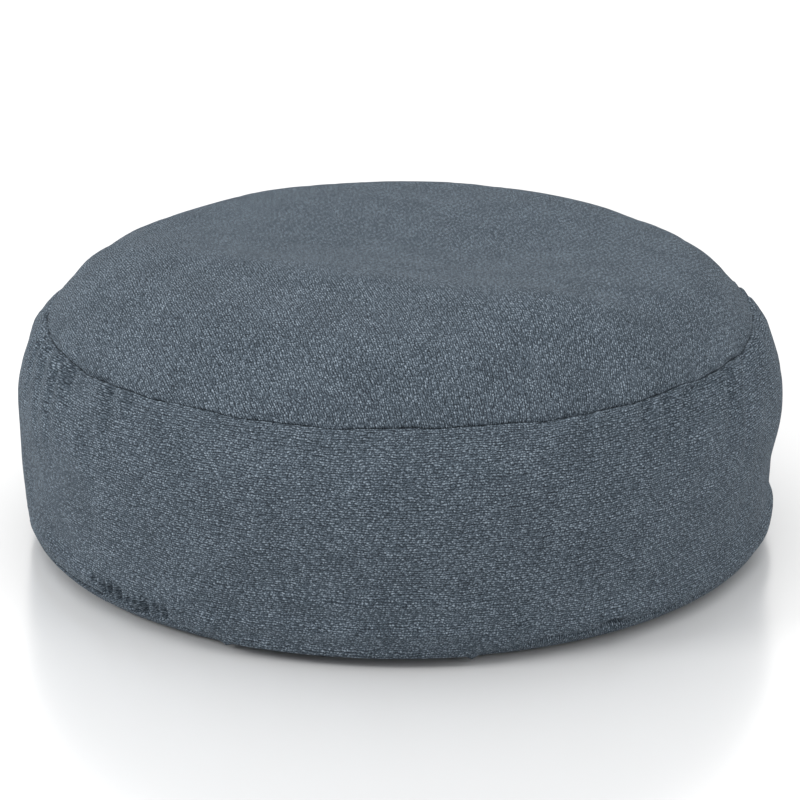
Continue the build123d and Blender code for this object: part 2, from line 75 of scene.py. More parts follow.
class Wall:                             # stations run along the profile in metres, from base centre to apex

    def __init__(self, inset=0.0, base=0.0, edgeRadius=None):
        c = cushion
        edge = edgeRadius or c["edgeRadius"]
        side = c["radius"] - inset
        steep = math.radians(90 - c["shoulderTurn"])
        seamRadius = c["radius"] - c["shoulderRadius"] * (1 - math.sin(steep))
        seamHeight = c["shoulderHeight"] + c["shoulderRadius"] * math.cos(steep)
        reach = seamRadius - c["crownEdgeRadius"] * math.sin(steep)
        rise = c["height"] - seamHeight - c["crownEdgeRadius"] * (1 - math.cos(steep))
        capTurn = 2 * math.atan(rise / reach)
        spread = reach / math.sin(capTurn)
        capRadius = c["crownEdgeRadius"] + spread
        capHeight = c["height"] - capRadius
        turn = math.radians(c["shoulderTurn"])
        self.stretches = []
        self.end = 0.0
        self.addLine((0, base), (side - edge, base), (0, -1))
        self.baseEdge = self.end
        self.addArc((side - edge, base + edge), edge, -math.pi / 2, math.pi / 2)
        self.addLine((side, base + edge), (side, c["shoulderHeight"]), (1, 0))
        self.addArc((c["radius"] - c["shoulderRadius"], c["shoulderHeight"]), c["shoulderRadius"] - inset, 0, turn)
        self.topSeam = self.end
        self.addArc((reach, capHeight + spread * math.cos(capTurn)), c["crownEdgeRadius"] - inset,
                    turn, math.pi / 2 - turn - capTurn)
        self.addArc((0, capHeight), capRadius - inset, math.pi / 2 - capTurn, capTurn)

    def addLine(self, start, finish, outwards):
        length = math.dist(start, finish)
        self.stretches.append((self.end, length, "line", (start, finish, outwards)))
        self.end += length

    def addArc(self, centre, radius, startAngle, turn):
        self.stretches.append((self.end, radius * turn, "arc", (centre, radius, startAngle, turn)))
        self.end += radius * turn

    def at(self, station):              # radius, height and the outward normal
        station = np.asarray(station, float)
        radius, height, outR, outZ = (np.zeros_like(station) for _ in range(4))
        for start, length, kind, data in self.stretches:
            part = (station >= start - 1e-9) if start else np.ones(station.shape, bool)
            share = (station - start) / length
            if kind == "line":
                (r0, z0), (r1, z1), (nr, nz) = data
                values = r0 + (r1 - r0) * share, z0 + (z1 - z0) * share, nr + 0 * share, nz + 0 * share
            else:
                (cr, cz), size, angle0, turn = data
                angle = angle0 + turn * share
                values = (cr + size * np.cos(angle), cz + size * np.sin(angle), np.cos(angle), np.sin(angle))
            radius[part], height[part], outR[part], outZ[part] = (v[part] for v in values)
        return radius, height, outR, outZ

    def carryTo(self, other, station):  # the same share of the same stretch on another wall
        station = np.asarray(station, float)
        out = np.zeros_like(station)
        for (start, length, *_), (otherStart, otherLength, *_) in zip(self.stretches, other.stretches):
            part = (station >= start - 1e-9) if start else np.ones(station.shape, bool)
            out[part] = (otherStart + (station - start) / length * otherLength)[part]
        return out


wall = Wall()
bottomSeam = wall.baseEdge + cushion["edgeRadius"] * math.radians(90 - cushion["seamDip"])
topSeam = wall.topSeam
print("wall", round(wall.end, 4), "top seam", round(topSeam, 4), "bottom seam", round(bottomSeam, 4))

view = {
    "distance": 2.3,
    "elevation": 19.3,              # degrees
    "target": (0, 0, 0.100),
    "lens": 129.6,
}


def addCamera():
    rise = math.radians(view["elevation"])
    target = Vector(view["target"])
    data = bpy.data.cameras.new("camera")
    data.lens = view["lens"]
    camera = bpy.data.objects.new("camera", data)
    camera.location = target + view["distance"] * Vector((0, -math.cos(rise), math.sin(rise)))
    camera.rotation_euler = (target - camera.location).to_track_quat("-Z", "Y").to_euler()
    bpy.context.scene.collection.objects.link(camera)
    bpy.context.scene.camera = camera


addCamera()


def hexColour(code):                    # sRGB hex to linear
    parts = [int(code[i:i + 2], 16) / 255 for i in (1, 3, 5)]
    return tuple(v / 12.92 if v <= 0.04045 else ((v + 0.055) / 1.055) ** 2.4 for v in parts) + (1.0,)


def addNode(tree, kind, settings=None, inputs=None):    # inputs are values, or the nodes or sockets that feed them
    node = tree.nodes.new(kind)
    for key, value in (settings or {}).items():
        setattr(node, key, value)
    for key, value in (inputs or {}).items():
        if isinstance(value, bpy.types.Node):
            value = value.outputs[0]
        if isinstance(value, bpy.types.NodeSocket):
            tree.links.new(value, node.inputs[key])
        else:
            node.inputs[key].default_value = value
    return node


def newMaterial(name, roughness, metallic=0.0):
    material = bpy.data.materials.new(name)
    material.use_nodes = True
    shader = material.node_tree.nodes["Principled BSDF"]
    shader.inputs["Roughness"].default_value = roughness
    shader.inputs["Metallic"].default_value = metallic
    return material, material.node_tree, shader


# bouclé upholstery cloth of polyester and acrylic: short slubs in rows, heathered from slate to pale blue-grey,
# quite matt, with a soft bloom where it is seen edge on; the relief also darkens the colour, as painted shade
clothLook = {
    "slubLength": 2.25,              # mm along the row; two of three stand up and one lies back
    "rowPitch": 1.75,               # mm from row to row, each a quarter of three slubs further on
    "loose": 0.75,                  # how far a slub strays from its place
    "fibre": 1.15,                   # mm, loose fibre ends
    # the dark end of the ramp also serves as painted shade where the cloth is low
    "dark": "#1f262d",
    "mid": "#4d5862",
    "light": "#9aa7b3",
    "roughness": 0.95,
    "bloom": 0.04,
    "relief": 0.8,
}


def makeCloth(name):
    look = clothLook
    material, tree, shader = newMaterial(name, look["roughness"])
    times, plus, minus = {"operation": "MULTIPLY"}, {"operation": "ADD"}, {"operation": "SUBTRACT"}
    timesPlus = {"operation": "MULTIPLY_ADD"}
    uv = addNode(tree, "ShaderNodeUVMap", {"uv_map": "cut"}).outputs[0]
    # the yarns wander slowly, and each slub is bent a little
    wander = addNode(tree, "ShaderNodeTexNoise", inputs={"Vector": uv, "Scale": 45.0, "Detail": 2.0})
    drawn = addNode(tree, "ShaderNodeVectorMath", timesPlus, {0: wander.outputs["Color"], 1: (0.006, 0.005, 0), 2: uv})
    crook = addNode(tree, "ShaderNodeTexNoise", inputs={"Vector": uv, "Scale": 420.0, "Detail": 2.0})
    place = addNode(tree, "ShaderNodeVectorMath", timesPlus, {0: crook.outputs["Color"], 1: (0.0016, 0.0016, 0), 2: drawn})
    parts = addNode(tree, "ShaderNodeSeparateXYZ", inputs={0: place})
    across = addNode(tree, "ShaderNodeMath", times, {0: parts.outputs[1], 1: 1000 / look["rowPitch"]})
    row = addNode(tree, "ShaderNodeMath", {"operation": "FLOOR"}, {0: across})
    step = addNode(tree, "ShaderNodeMath", times, {0: row, 1: 0.75})
    along = addNode(tree, "ShaderNodeMath", timesPlus, {0: parts.outputs[0], 1: 1000 / look["slubLength"], 2: step})
    cell = addNode(tree, "ShaderNodeCombineXYZ", inputs={0: along, 1: across})
    slubs = addNode(tree, "ShaderNodeTexVoronoi", {"voronoi_dimensions": "2D"},
                    {"Vector": cell, "Scale": 1.0, "Randomness": look["loose"]})
    dice = addNode(tree, "ShaderNodeSeparateXYZ", inputs={0: slubs.outputs["Color"]})
    dome = addNode(tree, "ShaderNodeMath", {"operation": "MULTIPLY_ADD", "use_clamp": True},
                   {0: slubs.outputs["Distance"], 1: -1.5, 2: 1.0})
    size = addNode(tree, "ShaderNodeMath", timesPlus, {0: dice.outputs[0], 1: 0.5, 2: 0.3})
    sized = addNode(tree, "ShaderNodeMath", times, {0: dome, 1: size})
    site = addNode(tree, "ShaderNodeMath", {"operation": "FLOOR"}, {0: along})
    third = addNode(tree, "ShaderNodeMath", {"operation": "WRAP"}, {0: site, 1: 3.0, 2: 0.0})
    raised = addNode(tree, "ShaderNodeMath", {"operation": "LESS_THAN"}, {0: third, 1: 1.5})
    kept = addNode(tree, "ShaderNodeMath", timesPlus, {0: raised, 1: 0.30, 2: 0.70})
    slub = addNode(tree, "ShaderNodeMath", times, {0: sized, 1: kept})
    # the groove where two rows meet, which the colour also darkens as painted shade
    inRow = addNode(tree, "ShaderNodeMath", {"operation": "FRACT"}, {0: across})
    centred = addNode(tree, "ShaderNodeMath", minus, {0: inRow, 1: 0.5})
    ridge = addNode(tree, "ShaderNodeMath", times, {0: centred, 1: centred})
    # fibre ends, streaks along the rows from uneven yarn, and slow shade changes over the panel
    fuzz = addNode(tree, "ShaderNodeTexNoise", inputs={"Vector": uv, "Scale": 1000 / look["fibre"], "Detail": 3.0,
                                                       "Roughness": 0.8})
    patch = addNode(tree, "ShaderNodeTexNoise", inputs={"Vector": uv, "Scale": 26.0, "Detail": 4.0, "Roughness": 0.6})
    squeezed = addNode(tree, "ShaderNodeVectorMath", times, {0: place, 1: (150, 850, 1)})
    streak = addNode(tree, "ShaderNodeTexNoise", inputs={"Vector": squeezed, "Scale": 1.0, "Detail": 3.0,
                                                         "Roughness": 0.65})
    fibrous = addNode(tree, "ShaderNodeMath", timesPlus, {0: fuzz.outputs["Fac"], 1: 2.0, 2: slub})
    height = addNode(tree, "ShaderNodeMath", timesPlus, {0: ridge, 1: -1.3, 2: fibrous})
    # the height goes into the colour too: painted shade in the grooves, on slubs that lie back and at each slub's edge,
    # over the yarns' own streaks and tone
    shade = addNode(tree, "ShaderNodeMath", timesPlus, {0: streak.outputs["Fac"], 1: 0.7, 2: height})
    toneAndPaintedShade = addNode(tree, "ShaderNodeMath", timesPlus, {0: patch.outputs["Fac"], 1: 0.25, 2: shade})
    spread = addNode(tree, "ShaderNodeMath", {"operation": "MULTIPLY_ADD", "use_clamp": True}, {0: toneAndPaintedShade, 1: 0.85, 2: -0.93})
    ramp = addNode(tree, "ShaderNodeValToRGB", inputs={0: spread})
    stops = ramp.color_ramp.elements
    stops[0].position, stops[0].color = 0.10, hexColour(look["dark"])
    stops[1].position, stops[1].color = 0.95, hexColour(look["light"])
    stops.new(0.48).color = hexColour(look["mid"])
    relief = addNode(tree, "ShaderNodeBump", inputs={"Height": height, "Strength": look["relief"], "Distance": 1.2 * mm})
    tree.links.new(ramp.outputs[0], shader.inputs["Base Color"])
    tree.links.new(relief.outputs[0], shader.inputs["Normal"])
    shader.inputs["Sheen Weight"].default_value = look["bloom"]
    shader.inputs["Sheen Roughness"].default_value = 0.5
    shader.inputs["Sheen Tint"].default_value = hexColour("#a9b6c4")
    shader.inputs["Specular IOR Level"].default_value = 0.2
    return material


# fine plain weave, for tapes and the liner: pitch is from thread to thread in mm, drawn no finer than it can show; the
# colour darkens with the height, as painted shade where threads pass under
def makeWeave(name, colour, pitch, contrast, relief, roughness=0.85):
    material, tree, shader = newMaterial(name, roughness)
    uv = addNode(tree, "ShaderNodeUVMap", {"uv_map": "cut"}).outputs[0]
    parts = addNode(tree, "ShaderNodeSeparateXYZ", inputs={0: uv})
    waves = []
    for axis in (0, 1):
        turned = addNode(tree, "ShaderNodeMath", {"operation": "MULTIPLY"},
                         {0: parts.outputs[axis], 1: math.pi * 1000 / pitch})
        waves.append(addNode(tree, "ShaderNodeMath", {"operation": "SINE"}, {0: turned}))
    both = addNode(tree, "ShaderNodeMath", {"operation": "MULTIPLY"}, {0: waves[0], 1: waves[1]})
    noise = addNode(tree, "ShaderNodeTexNoise", inputs={"Vector": uv, "Scale": 500 / pitch, "Detail": 3.0})
    height = addNode(tree, "ShaderNodeMath", {"operation": "MULTIPLY_ADD"}, {0: both, 1: 0.35, 2: noise.outputs["Fac"]})
    # darker where the height is low: painted shade at the thread crossings, with a random mottle of the thread's own
    # tone
    mix = addNode(tree, "ShaderNodeMix", {"data_type": "RGBA", "clamp_factor": True}, {0: height})
    mix.inputs[6].default_value = tuple(v * (1 - contrast) for v in hexColour(colour)[:3]) + (1.0,)
    mix.inputs[7].default_value = hexColour(colour)
    bumps = addNode(tree, "ShaderNodeBump", inputs={"Height": height, "Strength": relief, "Distance": pitch / 3 * mm})
    tree.links.new(mix.outputs[2], shader.inputs["Base Color"])
    tree.links.new(bumps.outputs[0], shader.inputs["Normal"])
    return material


# one substance whose grain is a noise of a real size: twisted thread, moulded nylon, plated or cast metal
def makeGrain(name, colour, roughness, grain, contrast, relief, metallic=0.0):
    material, tree, shader = newMaterial(name, roughness, metallic)
    place = addNode(tree, "ShaderNodeTexCoord").outputs["Object"]
    noise = addNode(tree, "ShaderNodeTexNoise", inputs={"Vector": place, "Scale": 1000 / grain, "Detail": 4.0})
    mix = addNode(tree, "ShaderNodeMix", {"data_type": "RGBA"}, {0: noise.outputs["Fac"]})
    mix.inputs[6].default_value = tuple(v * (1 - contrast) for v in hexColour(colour)[:3]) + (1.0,)
    mix.inputs[7].default_value = tuple(min(1, v * (1 + contrast)) for v in hexColour(colour)[:3]) + (1.0,)
    uneven = addNode(tree, "ShaderNodeMath", {"operation": "MULTIPLY_ADD", "use_clamp": True},
                     {0: noise.outputs["Fac"], 1: 0.2, 2: roughness - 0.1})
    bumps = addNode(tree, "ShaderNodeBump", inputs={"Height": noise.outputs["Fac"], "Strength": relief,
                                                    "Distance": grain / 4 * mm})
    tree.links.new(mix.outputs[2], shader.inputs["Base Color"])
    tree.links.new(uneven.outputs[0], shader.inputs["Roughness"])
    tree.links.new(bumps.outputs[0], shader.inputs["Normal"])
    return material


# expanded polystyrene: white closed-cell beads, satin, with painted shade in the gaps between them
def makeBeads(name, beadSize):
    material, tree, shader = newMaterial(name, 0.6)
    place = addNode(tree, "ShaderNodeTexCoord").outputs["Object"]
    cells = addNode(tree, "ShaderNodeTexVoronoi", inputs={"Vector": place, "Scale": 1000 / beadSize})
    # each bead greys towards its edge: painted shade in the gaps between beads
    ramp = addNode(tree, "ShaderNodeValToRGB", inputs={0: cells.outputs["Distance"]})
    stops = ramp.color_ramp.elements
    stops[0].position, stops[0].color = 0.35, hexColour("#f4f4f1")
    stops[1].position, stops[1].color = 0.75, hexColour("#8d8f92")
    round_ = addNode(tree, "ShaderNodeMath", {"operation": "SUBTRACT"}, {0: 1.0, 1: cells.outputs["Distance"]})
    bumps = addNode(tree, "ShaderNodeBump", inputs={"Height": round_, "Strength": 0.8, "Distance": beadSize / 2 * mm})
    tree.links.new(ramp.outputs[0], shader.inputs["Base Color"])
    tree.links.new(bumps.outputs[0], shader.inputs["Normal"])
    shader.inputs["Subsurface Weight"].default_value = 0.1
    return material


slateBoucle = makeCloth("slateBoucle")
spunPolyester = makeGrain("spunPolyesterThread", "#4a5563", 0.7, 0.4, 0.25, 0.4)           # matt twisted thread
texturedPolyester = makeGrain("texturedOverlockThread", "#4f5a67", 0.85, 0.5, 0.3, 0.5)     # fluffier than sewing thread
wovenTape = makeWeave("wovenPolyesterTape", "#434d5a", 0.9, 0.4, 0.5)                       # tight ribbed tape
nylonCoil = makeGrain("nylonMonofilament", "#515b67", 0.35, 1.5, 0.12, 0.1)                 # smooth, slightly glossy
zincAlloy = makeGrain("enamelledZinc", "#3b4450", 0.38, 0.8, 0.10, 0.12)                    # lacquered casting
aluminiumStop = makeGrain("pressedAluminium", "#8f969c", 0.35, 0.6, 0.08, 0.15, 1.0)        # bare crimped metal
linerCotton = makeWeave("linerPolycotton", "#d9d6cd", 0.8, 0.18, 0.35)                      # thin off-white calico
linerThread = makeGrain("linerThread", "#e2dfd6", 0.7, 0.4, 0.12, 0.4)
linerTape = makeWeave("linerZipTape", "#dddad1", 0.8, 0.2, 0.4)
linerNylon = makeGrain("linerNylon", "#e6e3da", 0.35, 1.5, 0.06, 0.1)
linerZinc = makeGrain("linerEnamelledZinc", "#d8d5cc", 0.38, 0.8, 0.06, 0.12)
polystyreneBeads = makeBeads("polystyreneBeads", 4.5)
print("materials")

# how the filled cover has settled, in mm and degrees
settled = {
    "ridge": 10.0, "ridgeWidth": 38,             # a soft ridge across the front of the crown
    "dish": 14.0,                               # and the hollow behind it
    "lump": 1.2,                                # beads under the cloth
    "valley": 1.5, "valleyWidth": 2.2,          # both seams pull in
    "pucker": 14.0, "puckers": 56, "puckerLean": 0.016, "puckerReach": 26,
    "gather": 7.0, "gatherWave": 9.5, "gatherFrom": -51.5, "gatherTo": -33.5, "gatherReach": 15,
    "tuck": 12.0, "tuckAt": 31.5,
    "rollUnder": 19.0,                          # the front of the bottom seam has rolled under
    "fold": 1.6, "foldAt": 76,
}


def inZipBay(azimuth):
    low, high = cushion["zipBay"]
    return np.maximum(smooth(azimuth, low - 0.8, low), 1 - smooth(azimuth, high, high + 0.8))


def seamDrift(azimuth):                 # how far the bottom seam has moved along the wall
    s = settled
    front = smooth(azimuth, -38, -24) * (1 - smooth(azimuth, 9, 21))
    right = smooth(azimuth, 20, 30) * (1 - smooth(azimuth, 60, 90))
    return mm * (-s["rollUnder"] * front - 4.0 * bump(azimuth, -41, 5) - 2.0 * right)


def seamWave(azimuth):                  # the top seam was not sewn dead level
    a = np.radians(azimuth)
    return mm * (0.8 * np.sin(9 * a + 0.5) + 0.6 * np.sin(23 * a + 1.9) + 0.35 * np.sin(47 * a))


def settleBroadly(station, azimuth, x, y):      # out along the normal and straight up, in mm, for every layer
    s = settled
    a = np.radians(azimuth)
    fromTop = (station - topSeam) / mm
    fromBottom = (station - bottomSeam - seamDrift(azimuth)) / mm
    ridgeLine = -0.140 - 0.393 * x + 0.955 * x * x
    along = smooth(x, -0.25, -0.10) * (1 - smooth(x, 0.10, 0.27))
    up = s["ridge"] * bump((y - ridgeLine) / mm, 0, s["ridgeWidth"]) * along
    up = up - s["dish"] * np.exp(-((x - 0.05) / 0.13) ** 2 - ((y + 0.005) / 0.075) ** 2)
    up = up + 1.5 * np.exp(-((x + 0.10) / 0.08) ** 2 - ((y - 0.10) / 0.06) ** 2)
    lump = np.sin(21 * x + 1.3) * np.cos(17 * y - 0.4) + 0.6 * np.sin(38 * x - 29 * y + 0.7)
    # the back of the crown sits lower, most of all to the left and right of its middle
    back = smooth(y, -0.02, 0.10)
    up = up - back * (3.0 + 4.5 * bump(x, -0.19, 0.075) + 3.5 * bump(x, 0.16, 0.055))
    up = (up + s["lump"] * lump) * smooth(fromTop, 10, 90)
    onBand = smooth(fromBottom, 20, 60) * (1 - smooth(fromTop, -30, 0))
    out = 0.8 * onBand * (np.sin(5 * a + 0.6) + 0.7 * np.sin(11 * a + 2.0) * np.sin(station * 40))
    # low on both sides the band draws in over the floor
    low = smooth(fromBottom, 7, 24) * (1 - smooth(fromBottom, 45, 100))
    out = out - low * (7.5 * bump(azimuth, 77, 22) + 5.0 * bump(azimuth, -57, 12))
    return out, up


def settleFinely(station, azimuth):             # out along the normal in mm, for the cover alone
    s = settled
    arc = np.radians(azimuth) * cushion["radius"] / mm
    fromTop = (station - topSeam) / mm
    fromBottom = (station - bottomSeam - seamDrift(azimuth)) / mm
    out = -s["valley"] * np.exp(-np.abs(fromTop) / s["valleyWidth"])
    # short slanted puckers hang from the top seam, mostly at the sides
    where = (0.10 + 0.9 * bump(azimuth, -59, 15) + 1.1 * bump(azimuth, 54, 19) + 0.5 * bump(azimuth, 106, 16)
             + 0.7 * bump(np.abs(azimuth), 176, 26))
    around = np.radians(azimuth)
    lean = -s["puckerLean"] * np.clip(1.6 * np.sin(around), -1, 1) * fromTop
    phase = (azimuth / 360 * s["puckers"] + lean + 0.35 * np.sin(10 * around) + 0.2 * np.sin(24 * around + 1)) % 1
    # each pucker swells slowly and drops back steeply
    fold = np.where(phase < 0.7, np.sin(np.pi / 2 * phase / 0.7), np.cos(np.pi / 2 * (phase - 0.7) / 0.3)) ** 1.2 - 0.55
    below = np.exp(-np.maximum(-fromTop, 0) / s["puckerReach"]) * (fromTop <= 0)
    above = 0.35 * np.exp(-np.maximum(fromTop, 0) / 9) * (fromTop > 0)
    out = out + s["pucker"] * where * fold * (below + above) * smooth(np.abs(fromTop), 0.2, 5)
    # at both sides the band stands proud of the crown, and the seam lies in a deeper fold
    sides = bump(azimuth, -88, 20) + 0.8 * bump(azimuth, 86, 17)
    out = out + sides * (3.2 * bump(fromTop, -15, 12) - 2.6 * np.exp(-np.abs(fromTop) / 5) - 2.2 * bump(fromTop, 16, 14))
    # gathers where the seam takes up the cloth past the zip's end
    span = (azimuth - s["gatherFrom"]) / (s["gatherTo"] - s["gatherFrom"])
    inside = smooth(span, 0, 0.06) * (1 - smooth(span, 0.9, 1.02)) * (1 - 0.45 * span)
    step = (arc - math.radians(s["gatherFrom"]) * cushion["radius"] / mm) / s["gatherWave"]
    pleat = -np.abs(np.cos(np.pi * (step + 0.12 * np.sin(step * 2.1)))) ** 1.6
    foot = 0.4 + 6.0 * inZipBay(azimuth)        # the slider keeps its room at the end of its run
    head = s["gatherReach"] * (0.75 + 0.15 * np.cos(step * 1.7 + 0.4))
    reach = smooth(fromBottom, foot, foot + 3.0) * (1 - smooth(fromBottom, head, head + 7))
    out = out + s["gather"] * inside * pleat * reach
    # a tuck in the plain seam at the right, and both panels rolling into that seam
    out = out - s["tuck"] * bump(azimuth, s["tuckAt"], 1.5) * bump(fromBottom, 2, 5.0)
    out = out + 3.5 * bump(azimuth, s["tuckAt"], 3.2) * bump(fromBottom, 11, 5.0)
    out = out - (1 - inZipBay(azimuth)) * 1.2 * np.exp(-np.abs(fromBottom) / 1.8)
    # the upright join of the band, and one long soft fold low on its right
    onBand = smooth(fromBottom, 0, 8) * (1 - smooth(fromTop, -6, 0))
    out = out - 1.5 * np.exp(-np.abs(azimuth - cushion["joinAz"]) / 0.28) * onBand
    line = s["foldAt"] + fromTop * 0.05
    return out - s["fold"] * bump(azimuth, line, 3.2) * smooth(fromTop, -70, -35) * (1 - smooth(fromTop, -12, -3))


def spinSection(points, fromAz=-180.0, toAz=180.0, turns=600, closed=False):
    # a section of (station, depth) points is spun at a radius of 1 + station, with its depth upwards
    bm = bmesh.new()
    verts = [bm.verts.new((1 + station, 0, depth)) for station, depth in points]
    geometry = [bm.edges.new(pair) for pair in zip(verts, verts[1:])] + verts
    full = toAz - fromAz > 359.9
    if closed:
        geometry.append(bm.edges.new((verts[-1], verts[0])))
        if not full:
            geometry.append(bm.faces.new(verts))
    bmesh.ops.rotate(bm, verts=bm.verts, cent=(0, 0, 0), matrix=Matrix.Rotation(math.radians(fromAz - 90), 3, "Z"))
    bmesh.ops.spin(bm, geom=geometry, cent=(0, 0, 0), axis=(0, 0, 1), angle=math.radians(toAz - fromAz),
                   steps=max(2, round((toAz - fromAz) / 360 * turns)), use_merge=full)
    return bm


def azimuthOf(x, y):
    return (np.degrees(np.arctan2(y, x)) + 270) % 360 - 180


def divideBetween(bm, fromAz, toAz, cuts=1):    # more columns for small folds
    edges = []
    for edge in bm.edges:
        a, b = (vert.co for vert in edge.verts)
        if abs(a.xy.length - b.xy.length) < 1e-5 and abs(a.z - b.z) < 1e-6:
            if all(fromAz < azimuthOf(point.x, point.y) < toAz for point in (a, b)):
                edges.append(edge)
    bmesh.ops.subdivide_edges(bm, edges=edges, cuts=cuts, use_grid_fill=True)


creases = None                          # (rows, columns) of mm outwards, from the simulation below


def creaseAt(station, azimuth):
    if creases is None:
        return 0.0
    rows, columns = creases.shape
    u = station / wall.end * (rows - 1)
    v = (azimuth + 180) / 360 * columns
    i, j = np.clip(np.floor(u).astype(int), 0, rows - 2), np.floor(v).astype(int)
    fu, fv = np.clip(u - i, 0, 1), v - j
    j, k = j % columns, (j + 1) % columns
    return ((creases[i, j] * (1 - fu) + creases[i + 1, j] * fu) * (1 - fv)
            + (creases[i, k] * (1 - fu) + creases[i + 1, k] * fu) * fv)


def pressedIn(station, azimuth):        # what lies inside gives way wherever the cover presses in
    deepest = np.zeros_like(station)
    for along, around in ((0, 0), (5, 0), (-5, 0), (0, 1.2), (0, -1.2)):
        near, turned = station + along * mm, (azimuth + around + 180) % 360 - 180
        deepest = np.minimum(deepest, settleFinely(near, turned) + creaseAt(near, turned))
    return deepest


def layOnWall(bm, name, on=None, fine=True, cut="band", reshape=None):
    # the spun section becomes the real piece: wrapped on its wall, settled with it, and mapped as it was cut
    on = on or wall
    mesh = bpy.data.meshes.new(name)
    bmesh.ops.remove_doubles(bm, verts=bm.verts, dist=1e-7)
    bm.to_mesh(mesh)
    bm.free()
    co = np.zeros(len(mesh.vertices) * 3)
    mesh.vertices.foreach_get("co", co)
    co = co.reshape(-1, 3)
    station, turn, depth = np.hypot(co[:, 0], co[:, 1]) - 1, np.arctan2(co[:, 1], co[:, 0]), co[:, 2]
    azimuth = azimuthOf(co[:, 0], co[:, 1])
    if reshape:
        station, depth = reshape(station, depth, azimuth)
    if on is wall:
        # beside the bottom seam everything follows its drift, and keeps clear of the slit over the zip
        away = station - bottomSeam
        lip = (cushion["lip"] - seamSlit) * inZipBay(azimuth) * bump(away, 0, 0.030)
        opened = 0 if name.startswith("zip") else np.where(away < 0, -lip, lip)
        station = station + bump(away, 0, 0.030) * seamDrift(azimuth) + opened
        station = station + bump(station - topSeam, 0, 0.022) * seamWave(azimuth)
    radius, height, outR, outZ = on.at(station)
    x, y = radius * np.cos(turn), radius * np.sin(turn)
    same = on.carryTo(wall, station)
    out, up = settleBroadly(same, azimuth, x, y)
    if on is not wall:
        out = out + pressedIn(same, azimuth)
    elif fine:
        out = out + settleFinely(same, azimuth) + creaseAt(same, azimuth)
    radius = radius + outR * (out * mm - depth)
    height = height + outZ * (out * mm - depth) + up * mm
    mesh.vertices.foreach_set("co", np.stack([radius * np.cos(turn), radius * np.sin(turn), height], axis=1).ravel())
    corners = np.zeros(len(mesh.loops), int)
    mesh.loops.foreach_get("vertex_index", corners)
    if cut == "band":
        u = (np.radians((azimuth - cushion["joinAz"]) % 360) * cushion["radius"])[corners]
        owner = np.repeat(np.arange(len(mesh.polygons)), [face.loop_total for face in mesh.polygons])
        furthest = np.zeros(len(mesh.polygons))
        np.maximum.at(furthest, owner, u)
        lap = 2 * math.pi * cushion["radius"]
        flat = np.stack([np.where(furthest[owner] - u > lap / 2, u + lap, u), (station - depth)[corners]], axis=1)
    else:
        away = (on.end - station) if cut == "crown" else station
        grain = math.radians(16)        # the crown panel was laid out a little off the front
        px, py = away * np.cos(turn), away * np.sin(turn)
        flat = np.stack([(px * math.sin(grain) - py * math.cos(grain))[corners],
                         (px * math.cos(grain) + py * math.sin(grain))[corners]], axis=1)
    mesh.uv_layers.new(name="cut").data.foreach_set("uv", flat.ravel())
    return finishMesh(mesh, name)


def finishMesh(mesh, name):             # closes seams and poles, turns faces outwards
    bm = bmesh.new()
    bm.from_mesh(mesh)
    bmesh.ops.remove_doubles(bm, verts=bm.verts, dist=1e-6)
    bmesh.ops.recalc_face_normals(bm, faces=bm.faces)
    for face in bm.faces:
        face.smooth = True
    bm.to_mesh(mesh)
    bm.free()
    piece = bpy.data.objects.new(name, mesh)
    bpy.context.scene.collection.objects.link(piece)
    return piece


def faceOutwards(piece):                # an open skin, whose normals could all point in
    mesh = piece.data
    outward = sum(face.area * face.normal.dot(face.center - Vector((0, 0, 0.1))) for face in mesh.polygons)
    if outward < 0:
        mesh.flip_normals()


def thicken(piece, thickness):
    faceOutwards(piece)
    solid = piece.modifiers.new("thickness", "SOLIDIFY")
    solid.thickness, solid.offset = thickness, -1


def dress(piece, body, slot, material, *replaced):
    piece.data.materials.clear()
    piece.data.materials.append(material)
    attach(piece, body)
    if replaced:
        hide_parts(*replaced)
    return piece


def rowsBetween(low, high, step):
    count = max(1, round((high - low) / step))
    return [(low + (high - low) * i / count, 0.0) for i in range(1, count)]


seamSlit = 0.15 * mm
# rows that roll a cut edge into its seam: mm from the seam, and depth
rolledEdge = [(0.0, 1.5), (0.05, 0.9), (0.25, 0.5), (0.6, 0.2), (1.1, 0.05), (1.8, 0), (2.8, 0), (4.2, 0), (6.2, 0)]


def edgeRows(seam, direction, flap):    # flap rows, mm from the seam and deep, then the roll out to the open cloth
    return [(seam + direction * (away * mm + seamSlit), depth * mm) for away, depth in flap + rolledEdge]


# creases that the shorter seam thread pulls into the full cover
simulation = {
    "rows": 110, "columns": 280, "frames": 16,
    "pressure": 2.0,
    "seamShrink": 0.07,             # share by which the stitched rows are shorter
    "slack": -0.012,                # share of spare cloth between them
    "share": 0.22,                  # of what the loose shell does, because the beads hold the real one
    "cap": 2.0,                     # mm, the most a crease may move the skin
}


